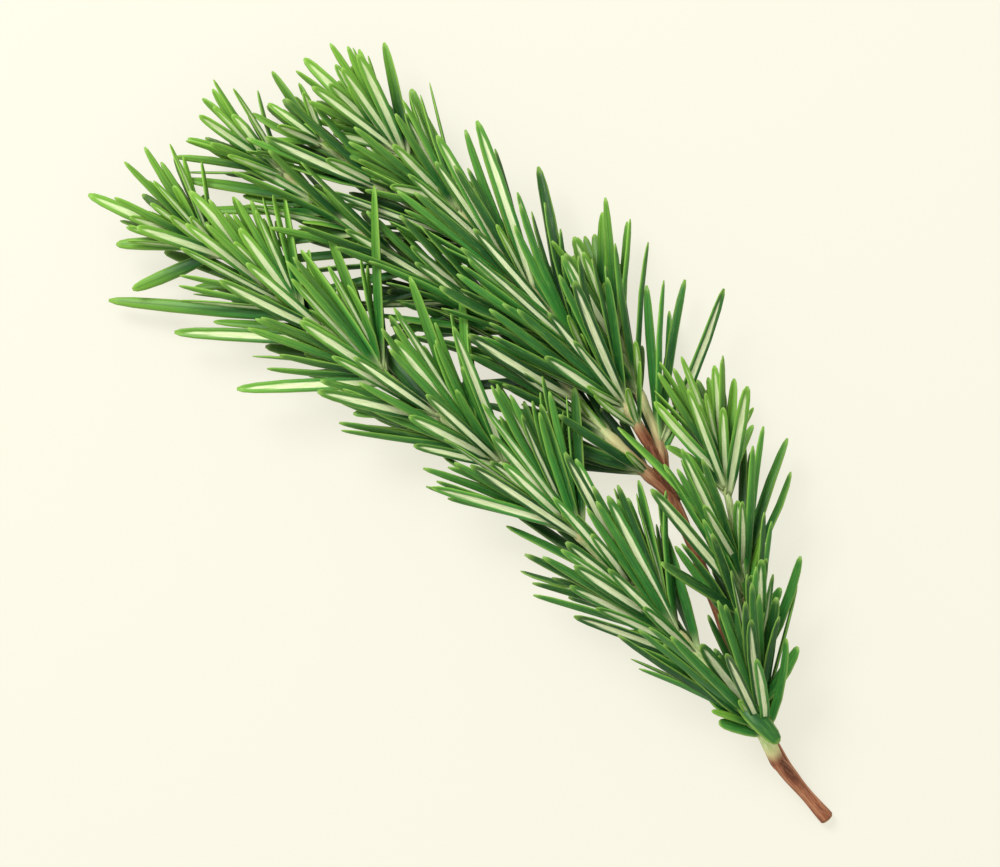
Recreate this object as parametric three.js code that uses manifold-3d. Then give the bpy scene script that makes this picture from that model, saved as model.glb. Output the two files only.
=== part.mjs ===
// A cut sprig of rosemary, lying on its side on a table.
//
// Millimetres, +Z up. The table is z = 0 and +X runs from the cut end to the tips.
// A woody stem forks near its cut end: one arm carries the front shoot, and the other, a
// brown limb, carries the middle, upper, right and outer shoots. Each leafy shoot is one solid:
// a green stem with needle leaves in opposite pairs, each pair turned a quarter from the
// last, and a tuft of smaller leaves in the axil of each. Leaves that meet the table bend
// flat along it, and leaves of different shoots keep clear of each other.

import * as THREE from 'three';
import { mergeVertices } from 'three/addons/utils/BufferGeometryUtils.js';
import Module from 'manifold-3d';

const wasm = await Module();
wasm.setup();

// Moves the sprig so that its box is centred on the origin.
const CENTRE_SHIFT = new THREE.Vector3(8.77, 14.04, 0);

// Wood
const WOOD_SIDES = 10;
const WOOD_STEP = 5;
const CUT_END_RADIUS = 1.35;
const LIMB_RADIUS = 1.15;
const LIMB_END_RADIUS = 1.0;
const BARK_SWELL = 0.07;
const BARK_SWELL_PITCH = 11;
const PIECE_GAP = 0.3;

// Green stems
const STEM_SIDES = 6;
const STEM_STEP = 7;
const STEM_TIP_RADIUS = 0.55;
const SAMPLES_PER_SPAN = 12;

// Leaves
const LEAF_LENGTH = 33;
const LEAF_WIDTH = 2.9;
const LEAF_THICKNESS = 0.81;
const UNDERSIDE_SHARE = 0.38;
const TIP_LEAF_SHARE = 0.64;
const INTERNODE_LOW = 19;
const INTERNODE_TIP = 10;
const TUFT_LEAD = 1.2;
const TUFT_FAN = 38;
const TUFT_LENGTH_SHARE = 0.86;
const TUFT_WIDTH_SHARE = 0.78;
const PAIR_SPLAY = 28;
const TUFT_SPLAY = 19;
const CROWN_LEAVES = 7;
const CROWN_DEPTH = 1.5;
const CROWN_LENGTH_SHARE = 0.52;
const CROWN_SPLAY = 14;
const HALF_TURN = 180;
const QUARTER_TURN = 90;
const LAST_PAIR_ROOM = 0.5;

// A leaf springs from inside its stem, and bows at a point along its length.
const ROOT_SHARE = 0.4;
const BOW_SHARE = 0.45;
const TANGENT_STEP = 0.02;

// How a leaf is shifted about when it is placed, in degrees and shares
const AZIMUTH_SWAY = 16;
const SPLAY_SWAY = 11;
const BOW_SWAY = 9;
const ROLL_SWAY = 20;
const LENGTH_SHARE_LOST = 0.18;
const SEEN_LEAF_SWAY = 0.3;
const TRIES = 14;
const WIDEN_PER_TRY = 0.12;
const SHORTEN_PER_TRY = 0.03;

// Clear room, between the middle lines of two leaves
const OWN_ROOM = 2.1;
const OTHER_ROOM = 2.9;
const CLAIM_STEP = 1.5;
const CHECK_STEPS = 16;
const OTHER_FIRST_STEP = 2;
const OWN_FIRST_STEP = 5;

// The table bends leaves
const TABLE_HEIGHT = 0.12;
const TABLE_SOFTNESS = 0.6;
const CONTACT_HEIGHT = 0.2;
const PRESS_START = 0.5;
const PRESS_RANGE = 2.4;

// Slivers under this size, which fusing gives, are smoothed away.
const SLIVER = 0.05;
const MERGE_DISTANCE = 1e-5;

const RANDOM_FACTOR = 48271;
const RANDOM_MODULUS = 2147483647;

// Stem lines, as points chosen along each stem
const TRUNK_LINE = [[-96, 10.6, 1.34], [-89, 9.5, 2.4], [-82, 8.4, 4.9]];
const LIMB_LINE = [
  [-90, 9.6, 2.3], [-83, 7.8, 3.0], [-76, 5.2, 3.7], [-66, -0.2, 4.8], [-55, -6.2, 5.8],
  [-45, -11.6, 6.4], [-35, -16.8, 6.8], [-27, -20.6, 7.2],
];

// Each shoot has its stem line, and the leaves that stand out when it is seen from above:
// their distance along the stem, length, turn from the stem to the left, rise and roll.
const SHOOTS = [
  {
    name: 'front_shoot', seed: 11, radius: 1.25, firstPair: 6, azimuth: 45, tuft: 4,
    line: [
      [-82.4, 8.5, 4.7], [-71.5, 4.4, 8.8], [-54, 2.7, 10.0], [-28, -0.2, 10.4],
      [-8, -0.8, 10.4], [15, 0.5, 10.2], [36, 1.5, 9.6], [60, 3.2, 8.8],
    ],
    seen: [
      [7, 10, 35, 14, 20], [12, 21, -27, 14, 0], [12, 24, -44, 10, 0], [12, 22, -59, 8, 20],
      [31, 30, -19, 16, 25], [33, 26, 7, 15, -10], [35, 27, 11, 20, -10], [31, 22, 23, 8, -40],
      [34, 28, -33, 6, 0], [55, 26, 12, 18, 0], [57, 24, -30, 10, 0], [56, 28, -42, 2, 0],
      [58, 29, -20, 10, 0], [76, 19, 12, 20, -10], [81, 25, -15, 18, 15], [83, 32, -36, 10, 0],
      [82, 27, -48, -2, 0], [84, 28, -26, 4, 0], [100, 21, 3, 20, 0], [100, 29, 38, 1, -75],
      [102, 34, -48, 8, 0], [103, 26, -34, 2, 0], [112, 30, 36, -3, -80], [119, 37, 34, -6, 80],
      [121, 19, -17, 16, 0], [120, 22, -44, 0, 0], [122, 24, -28, 6, 0], [141, 24, 11, 6, -50],
      [141, 20, 29, 2, 40], [139, 17, 57, -5, 60],
    ],
  },
  {
    name: 'upper_shoot', seed: 23, radius: 1.0, firstPair: 7, azimuth: 20, tuft: 3,
    line: [
      [-26.6, -20.8, 7.4], [-19.5, -23.0, 8.6], [-10.8, -24.6, 10.2], [-1.6, -26.2, 10.8],
      [7, -27.9, 10.8], [25.6, -30.4, 9.8], [48, -32.7, 8.8],
    ],
    seen: [
      [6, 21, 17, 18, 0], [13, 21, 30, 10, 0], [26, 22, 14, 18, 0], [34, 33, -20, 12, 30],
      [59, 19, -32, 6, 0], [67, 22, -32, 4, 0], [74, 20, 3, 4, 0], [74, 15, -8, 8, 0],
    ],
    side: {
      seed: 37, radius: 0.8, firstPair: 8, azimuth: 70, tuft: 2,
      line: [[13, -28.9, 10.4], [25, -27.2, 8.8], [34, -26, 8.2], [44, -24.8, 8], [54, -24, 8.1]],
      seen: [],
    },
  },
  {
    name: 'middle_shoot', seed: 51, radius: 1.05, firstPair: 6, azimuth: 50, tuft: 3,
    line: [
      [-36, -16.3, 6.8], [-27, -16.6, 6.8], [-17, -17.4, 6.6], [-8, -19.4, 6.4],
      [0.5, -20.8, 6.2], [9, -20.2, 6.2], [20, -18.3, 6.4], [37, -16.2, 6.6],
      [61, -15.2, 7.1],
    ],
    seen: [
      [45, 25, -10, 16, 0], [84, 25, 29, 2, 0], [86, 29, 25, 4, 0], [89, 24, 12, 6, 0],
      [93, 18, -22, 6, 0],
    ],
  },
  {
    name: 'right_shoot', seed: 73, radius: 0.9, firstPair: 7, azimuth: 60, tuft: 3,
    line: [
      [-34, -17.4, 6.6], [-28, -22.4, 5.9], [-20, -26.6, 5.8], [-12, -30.8, 6.0], [-3, -36, 6.4],
    ],
    seen: [[27, 21, 13, 6, 0], [29, 23, 3, 8, 0], [31, 13, -21, 8, 0]],
  },
  {
    name: 'outer_shoot', seed: 91, radius: 0.95, firstPair: 7, azimuth: 30, tuft: 3,
    line: [
      [-72.2, 3.1, 4.2], [-67.9, -2.3, 6.8], [-60.5, -8.5, 9.0], [-54.4, -13.9, 9.6],
      [-47.3, -19.8, 9.4], [-40.9, -24.9, 8.8], [-37.5, -27.5, 8.4],
    ],
    seen: [
      [17, 28, 42, 10, 0], [20, 30, 32, 16, 0], [28, 22, 15, 10, 0], [22, 17, -1, 14, 0],
      [43, 28, 28, 6, 0], [43, 23, 19, -2, 0], [43, 22, 12, 8, 0], [43, 28, 2, -3, 0],
      [43, 18, -15, 0, 0], [13, 11, -40, 0, 0],
    ],
  },
];

const WOOD_FINISH = { color: 0x8a5a3c, roughness: 0.85, metalness: 0 };
const LEAF_FINISH = { color: 0x3f8a38, roughness: 0.6, metalness: 0 };

// Random numbers from 0 to 1, the same on every run.
function seededRandom(seed) {
  let state = seed;
  return () => {
    state = (state * RANDOM_FACTOR) % RANDOM_MODULUS;
    return state / RANDOM_MODULUS;
  };
}

const radians = (angle) => angle * Math.PI / 180;
const degrees = (angle) => angle * 180 / Math.PI;
const mix = (a, b, share) => a + (b - a) * share;

// A stem line: a smooth curve through its points, read by the distance from its start.
class StemLine {
  constructor(points) {
    const curve = new THREE.CatmullRomCurve3(
      points.map((p) => new THREE.Vector3(...p)), false, 'catmullrom', 0.5);
    this.points = curve.getPoints(SAMPLES_PER_SPAN * (points.length - 1));
    this.lengths = [0];
    for (let i = 1; i < this.points.length; i += 1) {
      this.lengths.push(this.lengths[i - 1] + this.points[i].distanceTo(this.points[i - 1]));
    }
    this.length = this.lengths[this.lengths.length - 1];
  }

  // The point at a distance along the line, with its directions along, up and sideways.
  at(distance) {
    let i = 1;
    while (i < this.lengths.length - 1 && this.lengths[i] < distance) {
      i += 1;
    }
    const start = this.points[i - 1];
    const along = this.points[i].clone().sub(start).normalize();
    const point = start.clone().addScaledVector(along, distance - this.lengths[i - 1]);
    const up = new THREE.Vector3(0, 0, 1).addScaledVector(along, -along.z).normalize();
    const side = along.clone().cross(up);
    return { point, along, up, side };
  }
}

// A closed geometry through rings of points that all have the same count. A ring of one
// point closes an end to a tip.
function loft(rings) {
  const positions = [];
  const starts = rings.map((ring) => {
    const start = positions.length / 3;
    ring.forEach((p) => positions.push(p.x, p.y, p.z));
    return start;
  });
  const faces = [];
  const sides = rings[0].length;
  for (let r = 0; r < rings.length - 1; r += 1) {
    for (let i = 0; i < sides; i += 1) {
      const next = (i + 1) % sides;
      const a = starts[r] + i;
      const b = starts[r] + next;
      if (rings[r + 1].length === 1) {
        faces.push(a, b, starts[r + 1]);
      } else {
        faces.push(a, b, starts[r + 1] + next, a, starts[r + 1] + next, starts[r + 1] + i);
      }
    }
  }
  for (let i = 1; i < sides - 1; i += 1) {
    faces.push(starts[0], starts[0] + i + 1, starts[0] + i);
  }
  const last = rings.length - 1;
  if (rings[last].length > 1) {
    for (let i = 1; i < sides - 1; i += 1) {
      faces.push(starts[last], starts[last] + i, starts[last] + i + 1);
    }
  }
  const geometry = new THREE.BufferGeometry();
  geometry.setAttribute('position', new THREE.Float32BufferAttribute(positions, 3));
  geometry.setIndex(faces);
  return geometry;
}

function toSolid(geometry) {
  const merged = mergeVertices(geometry, MERGE_DISTANCE);
  return new wasm.Manifold(new wasm.Mesh({
    numProp: 3,
    vertProperties: Float32Array.from(merged.attributes.position.array),
    triVerts: Uint32Array.from(merged.index.array),
  }));
}

function toGeometry(solid) {
  const mesh = solid.getMesh();
  const geometry = new THREE.BufferGeometry();
  geometry.setAttribute('position', new THREE.BufferAttribute(mesh.vertProperties, 3));
  geometry.setIndex(new THREE.BufferAttribute(mesh.triVerts, 1));
  geometry.computeVertexNormals();
  return geometry;
}

// The largest body of a solid, so that no loose crumb stays with it.
function mainBody(solid) {
  return solid.decompose().sort((a, b) => b.volume() - a.volume())[0];
}

// A round stem along a line. radiusAt gives its radius at a distance from the start.
function stemSolid(line, sides, step, radiusAt, extend = 0) {
  const count = Math.max(2, Math.round(line.length / step));
  const rings = [];
  for (let k = 0; k <= count; k += 1) {
    const distance = line.length * k / count;
    let place = line.at(distance);
    if (k === count && extend > 0) {
      place = { ...place, point: place.point.clone().addScaledVector(place.along, extend) };
    }
    const radius = radiusAt(distance);
    const ring = [];
    for (let i = 0; i < sides; i += 1) {
      const turn = 2 * Math.PI * i / sides;
      ring.push(place.point.clone()
        .addScaledVector(place.up, radius * Math.cos(turn))
        .addScaledVector(place.side, radius * Math.sin(turn)));
    }
    rings.push(ring);
  }
  return toSolid(loft(rings));
}

// A leaf's middle line is a quadratic curve whose low stretches lie along the table.
function leafPoint(leaf, share) {
  const rest = 1 - share;
  const point = new THREE.Vector3()
    .addScaledVector(leaf.base, rest * rest)
    .addScaledVector(leaf.bend, 2 * rest * share)
    .addScaledVector(leaf.tip, share * share);
  const over = point.z - TABLE_HEIGHT;
  point.z = TABLE_HEIGHT + 0.5 * (over + Math.hypot(over, TABLE_SOFTNESS));
  return point;
}

// The leaf's directions at a share of its length: along, across and out from the stem.
function leafFrame(leaf, share) {
  const point = leafPoint(leaf, share);
  const along = leafPoint(leaf, share + TANGENT_STEP)
    .sub(leafPoint(leaf, share - TANGENT_STEP)).normalize();
  const across = leaf.across.clone();
  across.z *= THREE.MathUtils.clamp((point.z - PRESS_START) / PRESS_RANGE, 0, 1);
  across.addScaledVector(along, -across.dot(along)).normalize();
  const out = across.clone().cross(along);
  return { point, along, across, out };
}

// One leaf from its root on a stem: azimuth turns it about the stem from straight up, splay
// opens it from the stem, bow curves it and roll turns its face, all in degrees.
function makeLeaf(root, azimuth, splay, bow, length, width, roll) {
  const radial = root.up.clone().multiplyScalar(Math.cos(radians(azimuth)))
    .addScaledVector(root.side, Math.sin(radians(azimuth)));
  const heading = (angle) => root.along.clone().multiplyScalar(Math.cos(radians(angle)))
    .addScaledVector(radial, Math.sin(radians(angle)));
  const base = root.point.clone().addScaledVector(radial, ROOT_SHARE * root.radius);
  const turned = root.along.clone().cross(radial).multiplyScalar(Math.cos(radians(roll)))
    .addScaledVector(radial, Math.sin(radians(roll)));
  return {
    base,
    bend: base.clone().addScaledVector(heading(splay - bow), BOW_SHARE * length),
    tip: base.clone().addScaledVector(heading(splay), length),
    across: turned,
    width,
  };
}

// The points that a leaf's room is measured at. Leaves of one shoot crowd at their roots, so
// only the points past OWN_FIRST_STEP are free, and count between those.
function checkPoints(leaf) {
  const points = [];
  for (let k = OTHER_FIRST_STEP; k <= CHECK_STEPS; k += 1) {
    points.push({ point: leafPoint(leaf, k / CHECK_STEPS), free: k >= OWN_FIRST_STEP });
  }
  return points;
}

// The least room from a leaf to what is placed already: its own shoot and everything else.
function roomAround(points, placed, owner) {
  let own = Infinity;
  let other = Infinity;
  for (const { point, free } of points) {
    for (const item of placed) {
      const gap = point.distanceTo(item.point) - item.radius;
      if (item.owner !== owner) {
        other = Math.min(other, gap);
      } else if (free && item.free) {
        own = Math.min(own, gap);
      }
    }
  }
  return { own, other };
}

// Tries poses for one leaf and keeps the first that has room, or else the best one that
// clears the other shoots. It gives null where none does.
function placeLeaf(plan, root, random, placed, owner) {
  let best = null;
  let bestOwn = -Infinity;
  let settled = false;
  for (let k = 0; k < TRIES; k += 1) {
    const sway = () => (2 * random() - 1) * (plan.sway + WIDEN_PER_TRY * k);
    const azimuth = plan.azimuth + AZIMUTH_SWAY * sway();
    const splay = Math.abs(plan.splay + SPLAY_SWAY * sway());
    const bow = BOW_SWAY * sway();
    const roll = plan.roll + ROLL_SWAY * sway();
    const length = plan.length * (1 - LENGTH_SHARE_LOST * plan.sway * random())
      * (1 - SHORTEN_PER_TRY * k);
    if (settled) {
      continue;
    }
    const leaf = makeLeaf(root, azimuth, splay, bow, length, plan.width, roll);
    const room = roomAround(checkPoints(leaf), placed, owner);
    if (room.other < OTHER_ROOM) {
      continue;
    }
    if (room.own > bestOwn) {
      best = leaf;
      bestOwn = room.own;
    }
    settled = room.own >= OWN_ROOM;
  }
  return best;
}

// The leaves that stand out on one stem, as the directions that placeLeaf works with.
function seenPlans(shoot) {
  return shoot.seen.map(([distance, length, turn, rise, roll]) => {
    const ahead = Math.cos(radians(rise)) * Math.cos(radians(turn));
    const right = -Math.cos(radians(rise)) * Math.sin(radians(turn));
    const up = Math.sin(radians(rise));
    return {
      distance,
      azimuth: degrees(Math.atan2(right, up)),
      splay: degrees(Math.acos(ahead)),
      length,
      width: LEAF_WIDTH,
      roll,
      sway: SEEN_LEAF_SWAY,
    };
  });
}

// The leaves that one stem should carry by rule: pairs with their tufts, then a crown.
function rulePlans(shoot, line) {
  const plans = [];
  const add = (distance, azimuth, splay, length, width) => plans.push({
    distance, azimuth, splay, length, width, roll: 0, sway: 1,
  });
  let distance = shoot.firstPair;
  let azimuth = shoot.azimuth;
  while (distance < line.length - LAST_PAIR_ROOM * INTERNODE_TIP) {
    const age = distance / line.length;
    const length = LEAF_LENGTH * mix(1, TIP_LEAF_SHARE, age * age);
    for (const turn of [0, HALF_TURN]) {
      add(distance, azimuth + turn, PAIR_SPLAY, length, LEAF_WIDTH);
      for (let i = 0; i < shoot.tuft; i += 1) {
        const spread = 2 * i / (shoot.tuft - 1) - 1;
        add(distance + TUFT_LEAD, azimuth + turn + TUFT_FAN * spread, TUFT_SPLAY,
          length * TUFT_LENGTH_SHARE, LEAF_WIDTH * TUFT_WIDTH_SHARE);
      }
    }
    azimuth += QUARTER_TURN;
    distance += mix(INTERNODE_LOW, INTERNODE_TIP, age);
  }
  for (let i = 0; i < CROWN_LEAVES; i += 1) {
    add(line.length - CROWN_DEPTH, azimuth + 2 * HALF_TURN * i / CROWN_LEAVES, CROWN_SPLAY,
      LEAF_LENGTH * CROWN_LENGTH_SHARE, LEAF_WIDTH * TUFT_WIDTH_SHARE);
  }
  return plans;
}

function stemRadius(shoot, line, distance) {
  return mix(shoot.radius, STEM_TIP_RADIUS, distance / line.length);
}

// Marks a stem as taken room for the leaves that come after it.
function claimStem(line, radiusAt, owner, placed) {
  for (let distance = 0; distance <= line.length; distance += CLAIM_STEP) {
    const { point } = line.at(distance);
    placed.push({ point, radius: radiusAt(distance), owner, free: false });
  }
}

function growLeaves(shoot, line, owner, placed) {
  const random = seededRandom(shoot.seed);
  const leaves = [];
  for (const plan of [...seenPlans(shoot), ...rulePlans(shoot, line)]) {
    const root = line.at(plan.distance);
    root.radius = stemRadius(shoot, line, plan.distance);
    const leaf = placeLeaf(plan, root, random, placed, owner);
    if (leaf) {
      leaves.push(leaf);
      checkPoints(leaf).forEach((check) => placed.push({ ...check, radius: 0, owner }));
    }
  }
  return leaves;
}

// A needle leaf is three-sided: flat on the face away from the stem, and ridged on the other.
const LEAF_STATIONS = [
  { share: 0, width: 0.26 }, { share: 0.4, width: 1 }, { share: 0.9, width: 0.76 },
];

function leafSolid(leaf) {
  const settle = (p) => new THREE.Vector3(p.x, p.y, p.z < CONTACT_HEIGHT ? 0 : p.z);
  const rings = LEAF_STATIONS.map(({ share, width }) => {
    const frame = leafFrame(leaf, share);
    const half = 0.5 * width * leaf.width;
    const flat = frame.point.clone()
      .addScaledVector(frame.out, UNDERSIDE_SHARE * LEAF_THICKNESS);
    return [
      settle(flat.clone().addScaledVector(frame.across, half)),
      settle(frame.point.clone()
        .addScaledVector(frame.out, (UNDERSIDE_SHARE - 1) * LEAF_THICKNESS)),
      settle(flat.clone().addScaledVector(frame.across, -half)),
    ];
  });
  rings.push([settle(leafPoint(leaf, 1))]);
  return toSolid(loft(rings));
}

const trunkLine = new StemLine(TRUNK_LINE);
const limbLine = new StemLine(LIMB_LINE);

function barkSwell(distance) {
  return 1 + BARK_SWELL * Math.cos(2 * Math.PI * distance / BARK_SWELL_PITCH);
}

const trunkRadius = (distance) => CUT_END_RADIUS * barkSwell(distance) / barkSwell(0);
const limbRadius = (distance) => mix(LIMB_RADIUS, LIMB_END_RADIUS, distance / limbLine.length)
  * barkSwell(distance);

// The wood, made wider all round by extra, which the shoots are cut clear of.
function woodSolid(extra) {
  return wasm.Manifold.union([
    stemSolid(trunkLine, WOOD_SIDES, WOOD_STEP, (d) => trunkRadius(d) + extra, extra),
    stemSolid(limbLine, WOOD_SIDES, WOOD_STEP, (d) => limbRadius(d) + extra, extra),
  ]);
}

function shootSolid(stems, clearance) {
  const parts = [];
  for (const { shoot, line, leaves } of stems) {
    parts.push(stemSolid(line, STEM_SIDES, STEM_STEP, (d) => stemRadius(shoot, line, d)));
    leaves.forEach((leaf) => parts.push(leafSolid(leaf)));
  }
  return mainBody(wasm.Manifold.union(parts).subtract(clearance).simplify(SLIVER));
}

function addPart(group, name, solid, finish) {
  const mesh = new THREE.Mesh(toGeometry(solid), new THREE.MeshStandardMaterial(finish));
  mesh.name = name;
  mesh.position.copy(CENTRE_SHIFT);
  group.add(mesh);
}

function buildSprig() {
  const placed = [];
  claimStem(trunkLine, trunkRadius, 'wood', placed);
  claimStem(limbLine, limbRadius, 'wood', placed);
  const shoots = SHOOTS.map((shoot) => {
    const stems = [shoot, shoot.side].filter(Boolean)
      .map((part) => ({ shoot: part, line: new StemLine(part.line) }));
    stems.forEach(({ shoot: part, line }) => {
      claimStem(line, (d) => stemRadius(part, line, d), shoot.name, placed);
    });
    return { name: shoot.name, stems };
  });
  const clearance = woodSolid(PIECE_GAP);
  const group = new THREE.Group();
  addPart(group, 'woody_stem', mainBody(woodSolid(0)), WOOD_FINISH);
  for (const { name, stems } of shoots) {
    for (const stem of stems) {
      stem.leaves = growLeaves(stem.shoot, stem.line, name, placed);
    }
    addPart(group, name, shootSolid(stems, clearance), LEAF_FINISH);
  }
  return group;
}

export default buildSprig();
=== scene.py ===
"""A cut sprig of rosemary lying on a table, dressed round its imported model.

Every stem and leaf follows the same lines and the same seeded rule as the solid model, so
each fine piece lies where its solid does. Sizes are in millimetres and angles in degrees,
and the meshes are made in metres.
"""

from __future__ import annotations

import logging
import math
from collections.abc import Callable, Iterable, Iterator, Sequence
from dataclasses import dataclass, replace
from enum import Enum

import bmesh
import bpy
import numpy as np
from mathutils import Color, Matrix, Vector


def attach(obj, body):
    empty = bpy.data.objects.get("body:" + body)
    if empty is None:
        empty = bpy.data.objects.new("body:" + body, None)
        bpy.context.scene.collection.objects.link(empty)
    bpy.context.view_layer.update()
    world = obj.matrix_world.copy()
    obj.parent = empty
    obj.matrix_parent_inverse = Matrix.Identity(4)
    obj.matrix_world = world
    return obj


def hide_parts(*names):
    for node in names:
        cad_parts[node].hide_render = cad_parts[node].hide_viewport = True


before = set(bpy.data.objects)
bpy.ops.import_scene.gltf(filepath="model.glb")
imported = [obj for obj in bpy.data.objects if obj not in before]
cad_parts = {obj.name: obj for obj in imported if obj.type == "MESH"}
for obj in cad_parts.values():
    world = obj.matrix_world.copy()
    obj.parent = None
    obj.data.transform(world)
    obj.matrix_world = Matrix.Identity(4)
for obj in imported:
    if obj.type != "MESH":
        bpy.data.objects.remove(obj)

Array = np.ndarray
Point = tuple[float, float, float]

MM = 0.001
CENTRE_SHIFT = np.array([8.77, 14.04, 0.0])
BODY = "root"
LOG = logging.getLogger("rosemary")
WHITE_LEVEL = 255


def unit(vectors: Array) -> Array:
    """Scale vectors to length one, along the last axis."""
    return vectors / np.linalg.norm(vectors, axis=-1, keepdims=True)


def mix(start: float, end: float, share: float) -> float:
    """Go from start to end by a share."""
    return start + (end - start) * share


def clip(value: float) -> float:
    """Keep a number from 0 to 1."""
    return min(max(value, 0.0), 1.0)


def linear(*levels: int) -> tuple[float, float, float, float]:
    """Turn a colour as a screen shows it, 0 to 255, into the renderer's linear one."""
    shown = Color([level / WHITE_LEVEL for level in levels])
    return (*shown.from_srgb_to_scene_linear(), 1.0)


def heading(turn: float, rise: float) -> tuple[float, float]:
    """Turn a leaf's heading as seen from above into its azimuth and splay.

    Args:
        turn: The turn from the stem to the left.
        rise: The rise from the stem.

    Returns:
        The turn about the stem, from straight up, and how far the leaf opens from it.
    """
    lift, swing = math.radians(rise), math.radians(turn)
    ahead = math.cos(lift) * math.cos(swing)
    right = -math.cos(lift) * math.sin(swing)
    return math.degrees(math.atan2(right, math.sin(lift))), math.degrees(math.acos(ahead))


class SeededDraw:
    """Random numbers from 0 to 1, the same on every run."""

    FACTOR = 48271
    MODULUS = 2147483647

    def __init__(self, seed: int) -> None:
        """Start the row of numbers at a seed."""
        self.state = seed

    def __call__(self) -> float:
        """Draw the next number."""
        self.state = self.state * self.FACTOR % self.MODULUS
        return self.state / self.MODULUS

    def between(self, low: float, high: float) -> float:
        """Draw a number from low to high."""
        return mix(low, high, self())

    def sway(self, reach: float) -> float:
        """Draw a number from minus reach to reach."""
        return (2 * self() - 1) * reach


@dataclass(frozen=True)
class Place:
    """A point on a stem line with its directions along, up and sideways."""

    point: Array
    along: Array
    up: Array
    side: Array


class StemLine:
    """A smooth line through a stem's points, read by the distance from its start."""

    SAMPLES_PER_SPAN = 12
    TENSION = 0.5

    def __init__(self, knots: Sequence[Point]) -> None:
        """Draw the line through its points.

        Args:
            knots: The points that the stem passes through, from its lower end.
        """
        given = np.array(knots, float)
        before, after = 2 * given[0] - given[1], 2 * given[-1] - given[-2]
        padded = np.vstack([before, given, after])
        spans = len(given) - 1
        steps = np.arange(self.SAMPLES_PER_SPAN * spans + 1) / (self.SAMPLES_PER_SPAN * spans)
        reach = steps * spans
        span = np.minimum(np.floor(reach).astype(int), spans - 1)
        t = (reach - span)[:, None]
        a, b, c, d = (padded[span + k] for k in range(4))
        leave, arrive = self.TENSION * (c - a), self.TENSION * (d - b)
        square = -3 * b + 3 * c - 2 * leave - arrive
        cube = 2 * b - 2 * c + leave + arrive
        self.points = b + leave * t + square * t * t + cube * t ** 3
        pieces = np.linalg.norm(np.diff(self.points, axis=0), axis=1)
        self.lengths = np.concatenate([[0.0], np.cumsum(pieces)])
        self.length = float(self.lengths[-1])

    def at(self, distance: float) -> Place:
        """Find the place at a distance along the line.

        Args:
            distance: The distance from the line's start, which may run past its ends.

        Returns:
            The place there.
        """
        last = len(self.lengths) - 1
        i = min(max(int(np.searchsorted(self.lengths, distance)), 1), last)
        start = self.points[i - 1]
        along = unit(self.points[i] - start)
        point = start + along * (distance - self.lengths[i - 1])
        up = unit(np.array([0.0, 0.0, 1.0]) - along * along[2])
        return Place(point, along, up, np.cross(along, up))


@dataclass(frozen=True)
class LeafPlan:
    """Where a leaf grows on its stem, and its size.

    Azimuth is the turn about the stem, from straight up, splay how far the leaf opens from
    the stem, bow how far it curves, and roll the turn of its face. Sway is how much of its
    rule's sway it takes. Youth is the share of the stem below the leaf where it isn't
    given. A posed leaf has its face where it should be.
    """

    distance: float
    azimuth: float
    splay: float
    length: float
    width: float
    roll: float = 0.0
    bow: float = 0.0
    sway: float = 1.0
    youth: float | None = None
    # Painted shade laid on the leaf's colour.
    shade: float = 0.0
    posed: bool = False


@dataclass
class Leaf:
    """One leaf: a bowed middle line, the direction across it, and its looks.

    Turned and twist roll the fine leaf further than its solid, all along it and more and
    more towards its tip. The table flattens what reaches it.
    """

    base: Array
    bend: Array
    tip: Array
    across: Array
    width: float
    youth: float
    # Painted shade laid on the leaf's colour.
    shade: float
    posed: bool
    turned: float = 0.0
    twist: float = 0.0

    TABLE_HEIGHT = 0.12
    TABLE_SOFTNESS = 0.6
    PRESS_START = 0.5
    PRESS_RANGE = 2.4
    TANGENT_STEP = 0.02
    MOST_TURN = 115.0

    def points(self, shares: Array) -> Array:
        """Give points of the middle line.

        Args:
            shares: Shares of the leaf's length.

        Returns:
            One point in a row for each share.
        """
        s = shares[:, None]
        rest = 1 - s
        found = self.base * rest * rest + self.bend * 2 * rest * s + self.tip * s * s
        over = found[:, 2] - self.TABLE_HEIGHT
        found[:, 2] = self.TABLE_HEIGHT + 0.5 * (over + np.hypot(over, self.TABLE_SOFTNESS))
        return found

    def turn_to_level(self) -> float:
        """Give the turn that lays the leaf level, green face up unless its felt shows well.

        Returns:
            The turn.
        """
        along = unit(self.tip - self.base)
        across = unit(self.across - along * float(self.across @ along))
        felt_up = math.degrees(math.atan2(-across[2], np.cross(across, along)[2]))
        green_up = felt_up - math.copysign(180, felt_up)
        return green_up if abs(green_up) < self.MOST_TURN else felt_up

    def frames(self, shares: Array) -> tuple[Array, Array, Array]:
        """Give the leaf's middle points, and its directions across and out from the stem.

        Args:
            shares: Shares of the leaf's length.

        Returns:
            Points, directions across and directions out, one in a row for each share.
        """
        point = self.points(shares)
        along = unit(self.points(shares + self.TANGENT_STEP)
                     - self.points(shares - self.TANGENT_STEP))
        across = np.repeat(self.across[None], len(shares), axis=0)
        free = np.clip((point[:, 2] - self.PRESS_START) / self.PRESS_RANGE, 0, 1)
        across[:, 2] *= free
        across = unit(across - along * np.sum(across * along, axis=1, keepdims=True))
        out = np.cross(across, along)
        roll = (np.radians(self.turned + self.twist * shares) * free.min())[:, None]
        return (point, across * np.cos(roll) + out * np.sin(roll),
                out * np.cos(roll) - across * np.sin(roll))


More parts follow.
